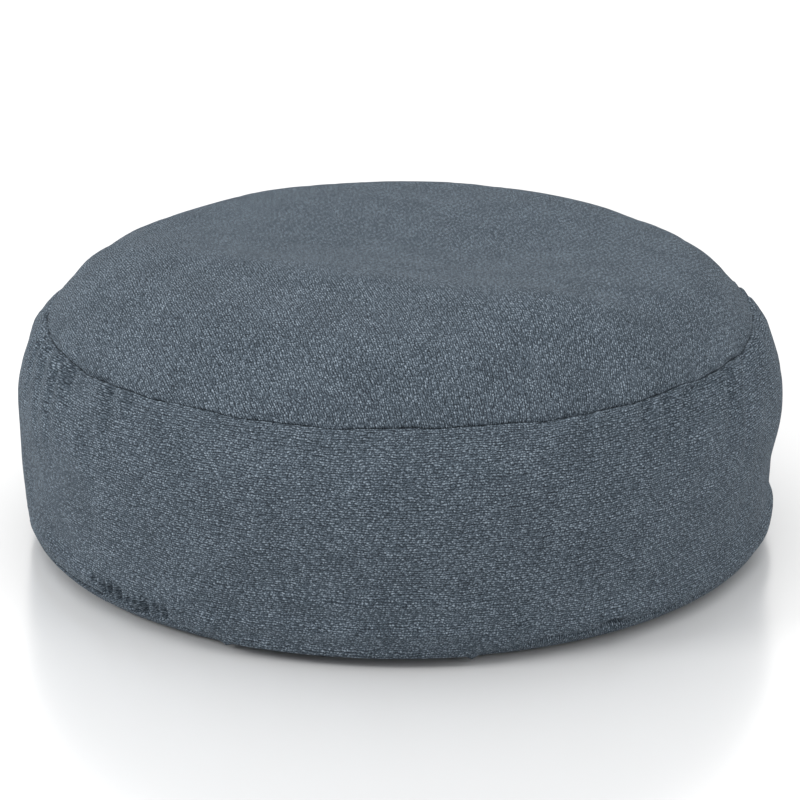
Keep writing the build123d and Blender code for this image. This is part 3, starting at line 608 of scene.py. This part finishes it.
def simulateCreases():
    s = simulation
    step = wall.end / (s["rows"] - 1)
    points = [(i * step, 0.0) for i in range(s["rows"])]
    skin = layOnWall(spinSection(points, turns=s["columns"]), "creaseSkin", fine=False)
    faceOutwards(skin)
    mesh = skin.data
    rest = np.zeros(len(mesh.vertices) * 3)
    mesh.vertices.foreach_get("co", rest)
    rest = rest.reshape(-1, 3)
    normals = np.zeros(len(mesh.vertices) * 3)
    mesh.vertices.foreach_get("normal", normals)
    normals = normals.reshape(-1, 3)
    # each vertex's place on the (row, column) grid, from the wall's own points
    radius, height, *_ = wall.at(np.array([i * step for i in range(s["rows"])]))
    away = (np.hypot(rest[:, 0], rest[:, 1])[:, None] - radius) ** 2 + (rest[:, 2][:, None] - height) ** 2
    row = away.argmin(axis=1)
    column = np.round((azimuthOf(rest[:, 0], rest[:, 1]) + 180) / 360 * s["columns"]).astype(int) % s["columns"]
    group = skin.vertex_groups.new(name="stitched")
    seamRows = [round(topSeam / step), round(bottomSeam / step)]
    for index in np.nonzero(np.isin(row, seamRows))[0]:
        group.add([int(index)], 1.0, "REPLACE")
    cloth = skin.modifiers.new("cloth", "CLOTH")
    cloth.settings.quality = 5
    cloth.settings.mass = 0.2
    cloth.settings.tension_stiffness = cloth.settings.compression_stiffness = 20
    cloth.settings.shear_stiffness = 8
    cloth.settings.bending_stiffness = 0.6
    cloth.settings.use_pressure = True
    cloth.settings.uniform_pressure_force = s["pressure"]
    cloth.settings.vertex_group_shrink = "stitched"
    cloth.settings.shrink_min = s["slack"]
    cloth.settings.shrink_max = s["seamShrink"]
    cloth.settings.effector_weights.gravity = 0
    cloth.collision_settings.use_collision = False
    cloth.point_cache.frame_end = s["frames"]
    for number in range(1, s["frames"] + 1):
        bpy.context.scene.frame_set(number)
    moved = skin.evaluated_get(bpy.context.evaluated_depsgraph_get())
    after = np.zeros(len(rest) * 3)
    moved.data.vertices.foreach_get("co", after)
    shift = ((after.reshape(-1, 3) - rest) * normals).sum(axis=1) / mm
    bpy.context.scene.frame_set(1)
    bpy.data.objects.remove(skin)
    grid = np.zeros((s["rows"], s["columns"]))
    grid[row, column] = shift
    grid[0], grid[-1] = grid[0].mean(), grid[-1].mean()
    # the broad swell is taken off, because the settled shape already has it
    broad = grid.copy()
    for _ in range(60):
        broad = 0.5 * broad + 0.25 * (np.roll(broad, 1, axis=1) + np.roll(broad, -1, axis=1))
        padded = np.pad(broad, ((1, 1), (0, 0)), mode="edge")
        broad = 0.5 * broad + 0.25 * (padded[2:] + padded[:-2])
    grid = np.clip((grid - broad) * s["share"], -s["cap"], s["cap"])
    onFloor = smooth(np.arange(s["rows"]) * step, 0.255, 0.300)
    print("creases", "swell", round(float(np.abs(broad).max()), 2), "crease", round(float(grid.std()), 3),
          round(float(np.abs(grid).max()), 2))
    return grid * onFloor[:, None]


creases = simulateCreases()


def makeCoverTop():
    flap = [(-12.15, 2.6), (-9, 2.6), (-6, 2.6), (-3, 2.6), (-1, 2.6), (-0.1, 2.4)]
    rows = edgeRows(topSeam, 1, flap)
    rows += rowsBetween(rows[-1][0], wall.end, 5.0 * mm) + [(wall.end, 0.0)]
    bm = spinSection(rows)
    return dress(layOnWall(bm, "coverTop", cut="crown"), "cushion", "cover_cloth", slateBoucle, "top_panel")


def makeCoverBand():
    flap = [(11.85, 2.5), (9, 2.5), (6, 2.5), (3, 2.5), (1, 2.5), (0.2, 2.2)]
    low, high = edgeRows(bottomSeam, 1, flap), edgeRows(topSeam, -1, flap)
    bm = spinSection(low + rowsBetween(low[-1][0], high[-1][0], 4.2 * mm) + high[::-1])
    divideBetween(bm, -54, -31, cuts=2)
    divideBetween(bm, 28, 35, cuts=2)
    divideBetween(bm, 141, 143, cuts=3)
    return dress(layOnWall(bm, "coverBand"), "cushion", "cover_cloth", slateBoucle, "side_band")


def makeCoverBase():
    flap = [(11.85, 2.5), (9, 2.5), (6, 2.5), (3, 2.5), (1, 2.5), (0.2, 2.2)]
    high = edgeRows(bottomSeam, -1, flap)
    bm = spinSection([(0.0, 0.0)] + rowsBetween(0.0, 0.24, 24 * mm) + rowsBetween(0.24, high[-1][0], 4.0 * mm)
                     + high[::-1])

    def turnFlap(station, depth, azimuth):      # away from the zip, its turned edge lies up behind the band's
        flapped = (depth > 2.1 * mm) * (1 - inZipBay(azimuth))
        return (station + flapped * 2 * (bottomSeam - station), depth + flapped * 0.1 * mm)

    return dress(layOnWall(bm, "coverBase", cut="base", reshape=turnFlap), "cushion", "cover_cloth", slateBoucle,
                 "bottom_panel")


coverTop, coverBand, coverBase = makeCoverTop(), makeCoverBand(), makeCoverBase()
for piece in (coverTop, coverBand, coverBase):
    thicken(piece, cushion["cloth"])
print("cover", [len(piece.data.polygons) for piece in (coverTop, coverBand, coverBase)])

# thread and coils are thin tubes that follow short paths of (station, along the zip or seam, depth)
def addTube(bm, path, radius, side, sides=5):
    points = [Vector(point) for point in path]
    ring, place = None, None
    for index, point in enumerate(points):
        ahead = (points[min(index + 1, len(points) - 1)] - points[max(index - 1, 0)]).normalized()
        across = Vector(side).cross(ahead).normalized()
        turned = Matrix((across, ahead.cross(across), ahead)).transposed().to_4x4()
        last, place = place, Matrix.Translation(point) @ turned
        if ring is None:
            verts = bmesh.ops.create_circle(bm, cap_ends=False, radius=radius, segments=sides, matrix=place)["verts"]
            ring = list({edge for vert in verts for edge in vert.link_edges})
            bmesh.ops.contextual_create(bm, geom=ring)
        else:
            made = bmesh.ops.extrude_edge_only(bm, edges=ring)["geom"]
            bmesh.ops.transform(bm, matrix=place @ last.inverted(),
                                verts=[item for item in made if isinstance(item, bmesh.types.BMVert)])
            ring = [item for item in made if isinstance(item, bmesh.types.BMEdge)
                    and len(item.link_faces) == 1]
    bmesh.ops.contextual_create(bm, geom=ring)


def repeatRound(path, radius, side, pitch, fromAz=-180.0, toAz=180.0, sides=5):
    # one tube, then copies of it round the wall
    bm = bmesh.new()
    addTube(bm, path, radius, side, sides)
    arc = math.radians(toAz - fromAz)
    steps = round(arc * cushion["radius"] / pitch)
    bmesh.ops.translate(bm, verts=bm.verts, vec=(1, 0, 0))
    bmesh.ops.scale(bm, verts=bm.verts, vec=(1, 1 / cushion["radius"], 1))
    bmesh.ops.rotate(bm, verts=bm.verts, cent=(0, 0, 0), matrix=Matrix.Rotation(math.radians(fromAz - 90), 3, "Z"))
    bmesh.ops.spin(bm, geom=bm.verts[:] + bm.edges[:] + bm.faces[:], cent=(0, 0, 0), axis=(0, 0, 1),
                   angle=arc * (steps - 1) / steps, steps=steps - 1, use_duplicate=True)
    return bm


trim = {
    "stitchPitch": 3.2 * mm, "thread": 0.3 * mm,    # thread's radius
    "overlockPitch": 3.0 * mm,
    "overlockThread": 0.22 * mm,
}


def pathInMm(seam, points):
    return [(seam + station * mm, along * mm, depth * mm) for station, along, depth in points]


def makeSeamStitches(name, node, seam, side, fromAz, toAz):
    # lock stitches through the four plies, seen only from inside
    path = pathInMm(seam, [(side * 1.6, -1.3, 2.7), (side * 1.6, -1.2, 3.85), (side * 1.6, -0.8, 4.02),
                           (side * 1.6, 0.8, 4.02), (side * 1.6, 1.2, 3.85), (side * 1.6, 1.3, 2.7)])
    bm = repeatRound(path, trim["thread"], (1, 0, 0), trim["stitchPitch"], fromAz, toAz)
    return dress(layOnWall(bm, name), "cushion", "cover_thread", spunPolyester, node)


def makeOverlock(name, node, seam, side, fromAz, toAz):
    # one loop of overlock thread binds the raw edges, slanting to the next
    path = pathInMm(seam, [(side * 7.2, -1.5, 4.15), (side * 9.5, -0.7, 4.2), (side * 12.0, 0.0, 4.15),
                           (side * 12.6, 0.2, 3.4), (side * 12.6, 0.4, 2.0), (side * 12.0, 0.6, 4.1),
                           (side * 9.5, 1.0, 4.22), (side * 7.2, 1.5, 4.15)])
    bm = repeatRound(path, trim["overlockThread"], (0.01, 0.3, 1), trim["overlockPitch"], fromAz, toAz, sides=4)
    return dress(layOnWall(bm, name), "cushion", "overlock_thread", texturedPolyester, node)


def makeJoinStitches():
    bm = bmesh.new()
    path = [(0, 0, 2.3), (0.25, 0, 2.55), (1.6, 0, 2.65), (2.9, 0, 2.55), (3.1, 0, 2.3)]
    addTube(bm, pathInMm(bottomSeam + 17 * mm, path), trim["thread"], (0, 1, 0))
    bmesh.ops.translate(bm, verts=bm.verts, vec=(1, 0, 0))
    bmesh.ops.scale(bm, verts=bm.verts, vec=(1, 1 / cushion["radius"], 1))
    count = int((topSeam - bottomSeam - 34 * mm) / trim["stitchPitch"])
    bmesh.ops.spin(bm, geom=bm.verts[:] + bm.edges[:] + bm.faces[:], cent=(0, 0, 0), axis=(0, 0, 1), angle=0,
                   dvec=(trim["stitchPitch"], 0, 0), steps=count, use_duplicate=True)
    bmesh.ops.rotate(bm, verts=bm.verts, cent=(0, 0, 0),
                     matrix=Matrix.Rotation(math.radians(cushion["joinAz"] - 90), 3, "Z"))
    return dress(layOnWall(bm, "joinStitches"), "cushion", "cover_thread", spunPolyester, "band_join_thread")


plainFrom, plainTo = cushion["zipBay"][1] + 0.3, cushion["zipBay"][0] - 0.3
seamTrim = [
    makeSeamStitches("topSeamStitches", "top_seam_thread", topSeam, -1, -180.0, 180.0),
    makeSeamStitches("bottomSeamStitches", "bottom_seam_thread", bottomSeam, 1, plainFrom, plainTo),
    makeOverlock("topSeamBinding", "top_seam_overlock", topSeam, -1, -180.0, 180.0),
    makeOverlock("bottomSeamBinding", "bottom_seam_overlock", bottomSeam, 1, plainFrom, plainTo),
    makeJoinStitches(),
]
print("seam trim", [len(piece.data.polygons) for piece in seamTrim])

# coil zip sewn into the bottom seam from the back right, round the left, to the front left; mm and degrees
zipper = {
    "tapeFrom": 151.5, "tapeTo": 311.0,
    "coilFrom": 154.0, "coilTo": 308.5,
    "coilDepth": 4.8, "coilThick": 2.2, "coilNear": 0.4, "coilWidth": 2.5,
    "coilPitch": 1.45, "monofilament": 0.27,
    "tapeDepth": 7.1, "tapeThick": 0.5, "tapeFlat": 5.4, "tapeMeets": 10.0, "tapeWidth": 16.0, "clothInside": 2.65,
    "row": 12.0,
    "stop": 3.0,
}


def makeTape(name, node, side):
    z = zipper
    face = [(0.4, z["tapeDepth"]), (3.0, z["tapeDepth"]), (z["tapeFlat"], z["tapeDepth"]), (7.0, 5.6), (8.6, 4.1),
            (z["tapeMeets"], z["clothInside"]), (12.0, z["clothInside"]), (14.0, z["clothInside"]),
            (z["tapeWidth"], z["clothInside"])]
    back = [(station, depth + z["tapeThick"]) for station, depth in face[::-1]]
    points = [(bottomSeam + side * station * mm, depth * mm) for station, depth in face + back]
    bm = spinSection(points, z["tapeFrom"], z["tapeTo"], turns=480, closed=True)
    return dress(layOnWall(bm, name), "cushion", "zip_tape", wovenTape, node)


def makeCoil(name, node, side):
    z = zipper
    middle, reach = z["coilNear"] + z["coilWidth"] / 2, z["coilWidth"] / 2 - z["monofilament"]
    centre, rise = z["coilDepth"] + z["coilThick"] / 2, z["coilThick"] / 2 - z["monofilament"]
    turn = []
    for i in range(9):
        angle = math.radians(45 * i)
        turn.append((side * (middle + reach * math.cos(angle)), z["coilPitch"] * (i / 8 - 0.5), centre + rise * math.sin(angle)))
    bm = repeatRound(pathInMm(bottomSeam, turn), z["monofilament"] * mm, (0, 1, 0.02), z["coilPitch"] * mm,
                     z["coilFrom"], z["coilTo"])
    return dress(layOnWall(bm, name), "cushion", "zip_coil", nylonCoil, node)


def makeStops(name, node, spans):
    bm = bmesh.new()
    z = zipper
    for low, high, start in spans:
        made = bmesh.ops.create_cube(bm, size=1.0)["verts"]
        size = (high - low, z["stop"], z["coilThick"])
        bmesh.ops.scale(bm, verts=made, vec=[v * mm for v in size])
        edges = list({edge for vert in made for edge in vert.link_edges})
        bmesh.ops.subdivide_edges(bm, edges=edges, cuts=1, use_grid_fill=True)
        bmesh.ops.translate(bm, verts=[v for v in bm.verts if abs(v.co.x) < 0.5],
                            vec=(1 + bottomSeam + (low + high) / 2 * mm, 0, (z["coilDepth"] + z["coilThick"] / 2) * mm))
        placed = [v for v in bm.verts if abs(v.co.y) < z["stop"] * mm and not v.tag]
        bmesh.ops.scale(bm, verts=placed, vec=(1, 1 / cushion["radius"], 1))
        bmesh.ops.rotate(bm, verts=placed, cent=(0, 0, 0), matrix=Matrix.Rotation(math.radians(start - 90), 3, "Z"))
        for vert in placed:
            vert.tag = True
    piece = dress(layOnWall(bm, name), "cushion", "zip_stop", aluminiumStop, node)
    bevel = piece.modifiers.new("edges", "BEVEL")
    bevel.width, bevel.segments, bevel.limit_method = 0.35 * mm, 2, "ANGLE"
    return piece


def makeTopstitch(name, node, side):
    # stitches that hold the tape, standing just proud of the cover
    row = side * zipper["row"]
    path = pathInMm(bottomSeam, [(row, -1.35, 0.5), (row, -1.2, 0.05), (row, -0.7, -0.12), (row, 0.7, -0.12),
                                 (row, 1.2, 0.05), (row, 1.35, 0.5)])
    bm = repeatRound(path, trim["thread"], (1, 0, 0), trim["stitchPitch"], zipper["tapeFrom"] + 0.3,
                     zipper["tapeTo"] - 0.3)
    return dress(layOnWall(bm, name), "cushion", "cover_thread", spunPolyester, node)


def bevelledCopy(name, node, body, slot, material, width):
    bm = bmesh.new()
    bm.from_mesh(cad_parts[node].data)
    bmesh.ops.remove_doubles(bm, verts=bm.verts, dist=1e-6)
    bmesh.ops.dissolve_limit(bm, angle_limit=math.radians(2), verts=bm.verts, edges=bm.edges)
    sharp = [edge for edge in bm.edges if len(edge.link_faces) == 2 and edge.calc_face_angle(0) > math.radians(40)]
    bmesh.ops.bevel(bm, geom=sharp, offset=width, affect="EDGES", segments=2, profile=0.5, material=-1,
                    clamp_overlap=True)
    mesh = bpy.data.meshes.new(name)
    for face in bm.faces:
        face.smooth = face.calc_area() < 2e-6
    bm.to_mesh(mesh)
    bm.free()
    piece = bpy.data.objects.new(name, mesh)
    bpy.context.scene.collection.objects.link(piece)
    return dress(piece, body, slot, material, node)


coverZip = [
    makeTape("zipTapeUpper", "zip_tape_upper", 1), makeTape("zipTapeLower", "zip_tape_lower", -1),
    makeCoil("zipCoilUpper", "zip_coil_upper", 1), makeCoil("zipCoilLower", "zip_coil_lower", -1),
    makeTopstitch("topstitchUpper", "zip_stitch_upper", 1), makeTopstitch("topstitchLower", "zip_stitch_lower", -1),
    makeStops("zipStopsClosed", "zip_top_stops", [(0.4, 2.9, 153.69), (-2.9, -0.4, 153.69)]),
    makeStops("zipStopOpen", "zip_bottom_stop", [(-2.9, 2.9, 308.81)]),
    bevelledCopy("zipRunner", "zip_slider", "slider", "zip_metal", zincAlloy, 0.18 * mm),
    bevelledCopy("zipPuller", "zip_pull", "pull", "zip_metal", zincAlloy, 0.25 * mm),
]
print("zip", [len(piece.data.polygons) for piece in coverZip])

# thin liner bag that holds the beads, with its own straight zip across the base; mm
liner = {
    "inset": 4.6, "base": 5.5, "edge": 42.0, "seamTurn": 45.0, "cloth": 0.5, "allowance": 10,
    "zipLength": 300.0, "slot": 5.0, "hem": 8.0,
    "tapeHeight": 6.6, "tapeThick": 0.4, "tapeWidth": 11.0, "tapeGap": 0.3,
    "coilBase": 4.65, "coilThick": 1.9, "coilWidth": 1.9, "coilPitch": 1.3, "monofilament": 0.22,
    "chain": 292.0, "stop": 2.5,
}
linerWall = Wall(liner["inset"] * mm, liner["base"] * mm, liner["edge"] * mm)
linerSeam = linerWall.baseEdge + liner["edge"] * mm * math.radians(liner["seamTurn"])


def linerRows(seam, side, flap):
    rolled = [(0.0, 0.8), (0.1, 0.4), (0.5, 0.1), (1.2, 0), (3.0, 0)]
    return [(seam + side * (away * mm + seamSlit), depth * mm) for away, depth in flap + rolled]


def makeLinerPanel(name, node, rows, cut):
    piece = layOnWall(spinSection(rows, turns=300), name, on=linerWall, fine=False, cut=cut)
    return dress(piece, "cushion", "liner_cloth", linerCotton, node)


def cutZipSlot(piece):
    # opens the base for the zip and turns its edges up and back
    halfLength, half = liner["zipLength"] / 2 * mm, liner["slot"] * mm
    bm = bmesh.new()
    bm.from_mesh(piece.data)
    for place, normal in (((halfLength, 0, 0), (1, 0, 0)), ((-halfLength, 0, 0), (1, 0, 0)),
                          ((0, half, 0), (0, 1, 0)), ((0, -half, 0), (0, 1, 0))):
        near = [face for face in bm.faces if face.calc_center_median().xy.length < 0.2]
        geometry = near + list({edge for face in near for edge in face.edges}) + list({v for face in near for v in face.verts})
        bmesh.ops.bisect_plane(bm, geom=geometry, plane_co=place, plane_no=normal, dist=1e-7)
    inside = [face for face in bm.faces if abs(face.calc_center_median().x) < halfLength
              and abs(face.calc_center_median().y) < half and face.calc_center_median().z < 0.02]
    bmesh.ops.delete(bm, geom=inside, context="FACES")
    rim = [edge for edge in bm.edges if len(edge.link_faces) == 1
           and all(abs(v.co.x) < halfLength + 1e-5 and abs(v.co.y) < half + 1e-5 for v in edge.verts)]
    hem = liner["hem"] * mm
    for lift, spread in ((0.55 * mm, (1, 1, 1)), (0, (1 + hem / halfLength, 1 + hem / half, 1))):
        made = bmesh.ops.extrude_edge_only(bm, edges=rim)["geom"]
        verts = [item for item in made if isinstance(item, bmesh.types.BMVert)]
        bmesh.ops.translate(bm, verts=verts, vec=(0, 0, lift))
        bmesh.ops.scale(bm, verts=verts, vec=spread)
        rim = [item for item in made if isinstance(item, bmesh.types.BMEdge) and len(item.link_faces) == 1]
    bm.to_mesh(piece.data)
    bm.free()


topFlap = [(-10.15, 1.15), (-5, 1.15), (-1, 1.15)]
bandFlap = [(9.85, 1.05), (5, 1.05), (1, 1.05)]
low, high = linerRows(linerSeam, 1, bandFlap), linerRows(linerWall.topSeam, -1, bandFlap)
linerBand = makeLinerPanel("linerBand", "liner_side_band", low + rowsBetween(low[-1][0], high[-1][0], 7 * mm) + high[::-1],
                           "band")
low = linerRows(linerWall.topSeam, 1, topFlap)
linerTop = makeLinerPanel("linerTop", "liner_top_panel",
                          low + rowsBetween(low[-1][0], linerWall.end, 8 * mm) + [(linerWall.end, 0.0)], "crown")
high = linerRows(linerSeam, -1, topFlap)
linerBase = makeLinerPanel("linerBase", "liner_bottom_panel",
                           [(0.0, 0.0)] + rowsBetween(0, high[-1][0], 10 * mm) + high[::-1], "base")
cutZipSlot(linerBase)
for piece in (linerTop, linerBand, linerBase):
    thicken(piece, liner["cloth"] * mm)


def makeLinerStitches():
    bm = bmesh.new()
    for seam, side in ((linerWall.topSeam, -1), (linerSeam, 1)):
        path = pathInMm(seam, [(side * 1.6, -1.2, 1.3), (side * 1.6, -1.0, 1.75), (side * 1.6, 1.0, 1.75),
                               (side * 1.6, 1.2, 1.3)])
        part = repeatRound(path, 0.2 * mm, (1, 0, 0), 3.2 * mm, sides=4)
        spare = bpy.data.meshes.new("spare")
        part.to_mesh(spare)
        part.free()
        bm.from_mesh(spare)
        bpy.data.meshes.remove(spare)
    piece = layOnWall(bm, "linerStitches", on=linerWall, fine=False)
    return dress(piece, "cushion", "liner_thread", linerThread, "liner_seam_threads")


def boxAt(bm, low, high):
    made = bmesh.ops.create_cube(bm, size=1.0)["verts"]
    size = [b - a for a, b in zip(low, high)]
    bmesh.ops.scale(bm, verts=made, vec=[v * mm for v in size])
    bmesh.ops.translate(bm, verts=made, vec=[(a + b) / 2 * mm for a, b in zip(low, high)])
    return made


def straightPiece(bm, name, slot, material, node):
    # flat on the liner's base: its map is its own plan
    mesh = bpy.data.meshes.new(name)
    bm.to_mesh(mesh)
    bm.free()
    piece = finishMesh(mesh, name)
    layer = mesh.uv_layers.new(name="cut")
    for loop in mesh.loops:
        layer.data[loop.index].uv = mesh.vertices[loop.vertex_index].co.xy
    return dress(piece, "cushion", slot, material, node)


def makeLinerZip():
    z = liner
    tapes, stops, coils, stitches = (bmesh.new() for _ in range(4))
    half = z["zipLength"] / 2 + z["hem"] / 2
    for side in (1, -1):
        near, far = sorted((side * z["tapeGap"], side * (z["tapeGap"] + z["tapeWidth"])))
        made = boxAt(tapes, (-half, near, z["tapeHeight"]), (half, far, z["tapeHeight"] + z["tapeThick"]))
        lengthwise = [edge for vert in made for edge in vert.link_edges if abs(edge.verts[0].co.x - edge.verts[1].co.x) > 0.1]
        bmesh.ops.subdivide_edges(tapes, edges=list(set(lengthwise)), cuts=40)
        middle, reach = z["tapeGap"] + z["coilWidth"] / 2, z["coilWidth"] / 2 - z["monofilament"]
        centre, rise = z["coilBase"] + z["coilThick"] / 2, z["coilThick"] / 2 - z["monofilament"]
        turn = []
        for i in range(9):
            angle = math.radians(45 * i)
            turn.append(Vector((-z["chain"] / 2 + z["coilPitch"] * i / 8, side * (middle + reach * math.cos(angle)),
                                centre + rise * math.sin(angle))) * mm)
        before = set(coils.faces)
        addTube(coils, turn, z["monofilament"] * mm, (1, 0, 0.02))
        fresh = [face for face in coils.faces if face not in before]
        geometry = fresh + list({e for face in fresh for e in face.edges}) + list({v for face in fresh for v in face.verts})
        bmesh.ops.spin(coils, geom=geometry, cent=(0, 0, 0), axis=(0, 0, 1), angle=0,
                       dvec=(z["coilPitch"] * mm, 0, 0), steps=int(z["chain"] / z["coilPitch"]) - 1, use_duplicate=True)
        row, start = side * (z["slot"] + z["hem"] / 2), -z["zipLength"] / 2 + 1.5
        path = [Vector(point) * mm for point in ((start - 1.2, row, 6.0), (start - 1.0, row, 5.45), (start, row, 5.38),
                                                 (start + 1.0, row, 5.45), (start + 1.2, row, 6.0))]
        before = set(stitches.faces)
        addTube(stitches, path, 0.2 * mm, (0, 1, 0), sides=4)
        fresh = [face for face in stitches.faces if face not in before]
        geometry = fresh + list({e for face in fresh for e in face.edges}) + list({v for face in fresh for v in face.verts})
        bmesh.ops.spin(stitches, geom=geometry, cent=(0, 0, 0), axis=(0, 0, 1), angle=0,
                       dvec=(3.2 * mm, 0, 0), steps=92, use_duplicate=True)
    for end in (1, -1):
        start, finish = sorted((end * (z["chain"] / 2 + 0.1), end * (z["chain"] / 2 + 0.1 + z["stop"])))
        width = z["tapeGap"] + z["coilWidth"]
        made = boxAt(stops, (start, -width, z["coilBase"]), (finish, width, z["coilBase"] + z["coilThick"]))
        bmesh.ops.bevel(stops, geom=list({edge for vert in made for edge in vert.link_edges}), offset=0.4 * mm,
                        affect="EDGES", segments=2, profile=0.5, material=-1)
    return [straightPiece(tapes, "linerZipTapes", "liner_zip_tape", linerTape, "liner_zip_tapes"),
            straightPiece(coils, "linerZipCoils", "liner_zip_coil", linerNylon, "liner_zip_coils"),
            straightPiece(stops, "linerZipStops", "liner_zip_stop", aluminiumStop, "liner_zip_stops"),
            straightPiece(stitches, "linerZipStitches", "liner_thread", linerThread, "liner_zip_stitches")]


linerTrim = [makeLinerStitches(), *makeLinerZip(),
             bevelledCopy("linerRunner", "liner_zip_slider", "liner_slider", "liner_zip_metal", linerZinc, 0.15 * mm)]
print("liner", [len(piece.data.polygons) for piece in (linerTop, linerBand, linerBase, *linerTrim)])

# the beads, as the body they fill
fill = {"inset": 6.6, "base": 7.6, "edge": 40.0, "row": 4.0, "roughness": 0.35, "groove": 5.5, "grooveTop": 9.0}


def makeFill():
    f = fill
    fillWall = Wall(f["inset"] * mm, f["base"] * mm, f["edge"] * mm)
    rows = [(0.0, 0.0)] + rowsBetween(0, fillWall.end, f["row"] * mm) + [(fillWall.end, 0.0)]
    piece = layOnWall(spinSection(rows, turns=400), "beadFill", on=fillWall, fine=False, cut="base")
    faceOutwards(piece)
    mesh = piece.data
    co, normals = (np.zeros(len(mesh.vertices) * 3) for _ in range(2))
    mesh.vertices.foreach_get("co", co)
    mesh.vertices.foreach_get("normal", normals)
    rng = np.random.default_rng(7)
    sunk = rng.random(len(mesh.vertices)) * f["roughness"] * mm
    co = co.reshape(-1, 3) - normals.reshape(-1, 3) * sunk[:, None]
    # the beads stand back from the liner's zip
    overZip = (np.abs(co[:, 1]) < (f["groove"] + 2) * mm) & (np.abs(co[:, 0]) < 0.152)
    overZip &= co[:, 2] < f["grooveTop"] * mm
    co[overZip, 2] = (f["grooveTop"] + 0.3) * mm
    mesh.vertices.foreach_set("co", co.ravel())
    return dress(piece, "cushion", "beads", polystyreneBeads, "bead_fill")


beadFill = makeFill()


# pale glossy studio sweep and soft boxes
studio = {
    "world": 0.78,
    "overhead": 150, "key": 40, "fill": 16,     # watts
    "floor": "#f0f0f0", "floorRoughness": 0.22, "floorIor": 5.0,
}


def makeFloor():
    bm = bmesh.new()
    bmesh.ops.create_grid(bm, x_segments=1, y_segments=1, size=9.0)
    bmesh.ops.translate(bm, verts=bm.verts, vec=(0, 4.0, -0.6 * mm))
    mesh = bpy.data.meshes.new("floor")
    bm.to_mesh(mesh)
    bm.free()
    floor = bpy.data.objects.new("floor", mesh)
    bpy.context.scene.collection.objects.link(floor)
    material, _, shader = newMaterial("paleLacquer", studio["floorRoughness"])
    shader.inputs["Base Color"].default_value = hexColour(studio["floor"])
    shader.inputs["IOR"].default_value = studio["floorIor"]
    mesh.materials.append(material)


def addLight(name, power, size, place, aim=(0, 0, 0.1)):
    data = bpy.data.lights.new(name, "AREA")
    data.energy = power
    data.shape = "RECTANGLE"
    data.size, data.size_y = size
    lamp = bpy.data.objects.new(name, data)
    lamp.location = place
    lamp.rotation_euler = (Vector(aim) - Vector(place)).to_track_quat("-Z", "Y").to_euler()
    bpy.context.scene.collection.objects.link(lamp)


def lightStudio():
    world = bpy.data.worlds.new("studio")
    bpy.context.scene.world = world
    world.use_nodes = True
    world.node_tree.nodes["Background"].inputs[0].default_value = (1, 1, 1, 1)
    world.node_tree.nodes["Background"].inputs[1].default_value = studio["world"]
    addLight("overhead", studio["overhead"], (6.0, 6.0), (0, 0.2, 3.5), aim=(0, 0.2, 0))
    addLight("key", studio["key"], (0.8, 0.8), (-2.4, -1.0, 1.5))
    addLight("fill", studio["fill"], (1.0, 1.0), (2.4, -1.4, 1.0))


makeFloor()
lightStudio()
print("studio")
